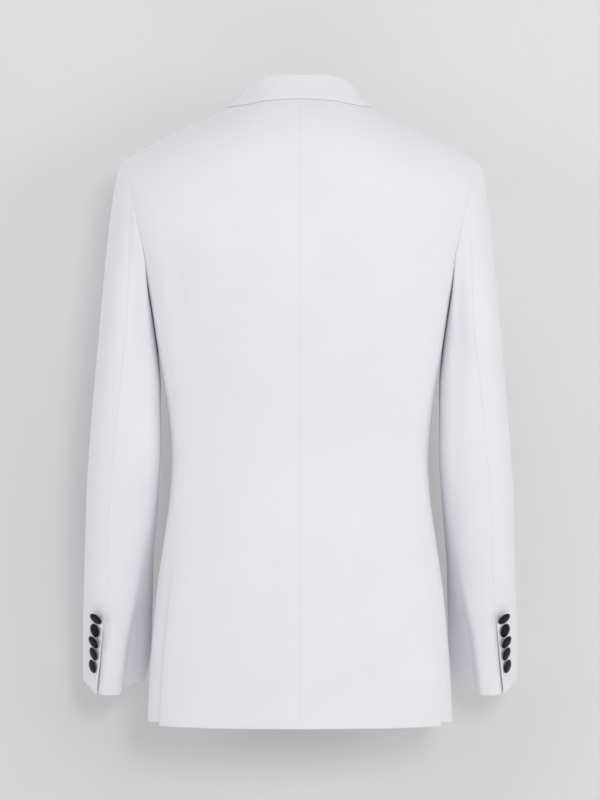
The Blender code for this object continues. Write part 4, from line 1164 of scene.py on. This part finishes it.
cuffButtons()
frontButton()
print("buttons made")

pocket = {
    "hip": {"span": (62.0, 150.0), "levels": (-548.0, -548.0), "depth": 11.0, "slit": 0.8},
    "welt": {"span": (84.0, 160.0), "levels": (-226.0, -218.0), "depth": 22.0, "slit": 0.0},
    "grid": (40, 16),
    "thickness": 1.2,
    "gap": 0.7,
    "slitWidth": 0.9,
    "hipFlat": (0.09, 0.0115),
    "weltFlat": (0.083, 0.023),
}


def laidStrip(span, levels, depth, slit):
    # a strip that lies on the front; two jets meet along its middle where there is a slit
    columns, rows = pocket["grid"]
    share = np.linspace(1.0, 0.0, rows + 1)[:, None]
    x = np.linspace(span[0], span[1], columns + 1)[None] + 0.0 * share
    z = np.linspace(levels[0], levels[1], columns + 1)[None] - depth * share
    sheet = Sheet(*bodyCloth(placeOnBody(x, z)))
    sheet.press(-(pocket["thickness"] + pocket["gap"]))
    sheet.sink = sheet.sink + np.exp(-((share - 0.5) * depth / pocket["slitWidth"]) ** 2) * slit
    sheet.rollAll(left=0.0, right=0.0, bottom=0.0, top=0.0)
    return sheet


def pockets():
    hip, welt = laidStrip(**pocket["hip"]), laidStrip(**pocket["welt"])
    for name, sheet, flat, below in (("hipPocketLeft", hip, pocket["hipFlat"], "frontLeft"),
                                     ("hipPocketRight", hip.mirrored(), pocket["hipFlat"], "frontRight"),
                                     ("breastWelt", welt, pocket["weltFlat"], "frontLeft")):
        addCloth(name, sheet, flat, held="laid", restsOn=[below], thick=pocket["thickness"])


pockets()
print("pockets made")


studio = {
    "floorLevel": -1.25,
    "floorEnd": 2.6,
    "wallPlace": -0.175,
    "wallTop": 1.6,
    "halfWidth": 3.2,
    "bend": 0.35,
    "floorColour": (0.82, 0.82, 0.82, 1.0),
    "lensDistance": 2.515,
    "cameraLevel": -0.364,
    "lens": 92.3,
    "aim": (0.0, 0.0, -0.38),
    "lights": {   # place, size, strength and colour
        "key": ((-0.4, 2.7, 0.1), 0.5, 12.9, (1.0, 0.99, 0.97)),
        "left": ((1.75, 2.3, -0.1), 1.2, 4.8, (0.98, 0.985, 1.0)),
        "right": ((-1.75, 2.3, -0.1), 1.2, 11.5, (1.0, 0.99, 0.98)),
        "leftWide": ((2.5, 1.0, 0.0), 1.6, 11.3, (0.98, 0.985, 1.0)),
        "rightWide": ((-2.5, 1.0, 0.0), 1.6, 9.5, (1.0, 0.99, 0.98)),
        "top": ((0.0, 1.2, 1.7), 1.5, 8.9, (1.0, 0.995, 0.99)),
        "front": ((1.1, -2.2, 0.5), 1.3, 8.0, (1.0, 1.0, 1.0)),
    },
    "sky": 0.32,
    "skyColour": (0.97, 0.98, 1.0, 1.0),
}


def buildStage():
    # floor and wall in one sweep; its back is clear, so other views see past it
    wall, level, bend = studio["wallPlace"], studio["floorLevel"], studio["bend"]
    profile = [(studio["floorEnd"], level), (wall + bend, level)]
    profile += [(wall + bend - bend * np.sin(a), level + bend * (1 - np.cos(a)))
                for a in np.linspace(0.0, pi / 2, 17)[1:]]
    profile += [(wall, studio["wallTop"])]
    points = [(sign * studio["halfWidth"], y, z) for y, z in profile for sign in (-1.0, 1.0)]
    faces = [(2 * k, 2 * k + 1, 2 * k + 3, 2 * k + 2) for k in range(len(profile) - 1)]
    mesh = bpy.data.meshes.new("studioSweep")
    mesh.from_pydata(points, [], faces)
    mesh.shade_smooth()
    sweep = bpy.data.objects.new("studioSweep", mesh)
    bpy.context.collection.objects.link(sweep)
    if mesh.polygons[0].normal.z < 0:
        mesh.flip_normals()
    finish = Finish("sweep")
    finish.set(Base_Color=studio["floorColour"], Roughness=0.9, Specular_IOR_Level=0.1)
    turned = finish.node("ShaderNodeNewGeometry", output=6)
    clear = finish.node("ShaderNodeBsdfTransparent")
    seen = Shader(finish.tree, finish.shader.outputs[0])
    mixed = finish.node("ShaderNodeMixShader", n0=turned, n1=seen, n2=clear)
    finish.put(finish.tree.nodes["Material Output"], Surface=mixed)
    mesh.materials.append(finish.material)


def aimAt(piece, place, target):
    piece.location = place
    piece.rotation_euler = (Vector(target) - Vector(place)).to_track_quat("-Z", "Y").to_euler()


def buildLights():
    # the front light stands beyond the wall, so only the jacket casts its shadows
    jacket = bpy.data.collections.new("jacket")
    for piece in bpy.context.scene.objects:
        if piece.type == "MESH" and piece.name != "studioSweep":
            jacket.objects.link(piece)
    for name, (place, size, strength, colour) in studio["lights"].items():
        light = bpy.data.lights.new(name, "AREA")
        light.shape, light.size, light.energy, light.color = "DISK", size, strength, colour
        lamp = bpy.data.objects.new(name, light)
        bpy.context.collection.objects.link(lamp)
        aimAt(lamp, place, studio["aim"])
        if name == "front":
            lamp.light_linking.blocker_collection = jacket
    world = bpy.data.worlds.new("studio")
    world.use_nodes = True
    sky = world.node_tree.nodes["Background"].inputs
    sky["Color"].default_value, sky["Strength"].default_value = studio["skyColour"], studio["sky"]
    bpy.context.scene.world = world


def buildCamera():
    lens = bpy.data.cameras.new("camera")
    lens.lens, lens.sensor_width = studio["lens"], 36.0
    camera = bpy.data.objects.new("camera", lens)
    bpy.context.collection.objects.link(camera)
    camera.location = (0.0, studio["lensDistance"], studio["cameraLevel"])
    camera.rotation_euler = (pi / 2, 0.0, pi)
    bpy.context.scene.camera = camera


buildStage()
buildLights()
buildCamera()
bpy.context.scene.view_settings.view_transform = "Standard"
print("studio made")
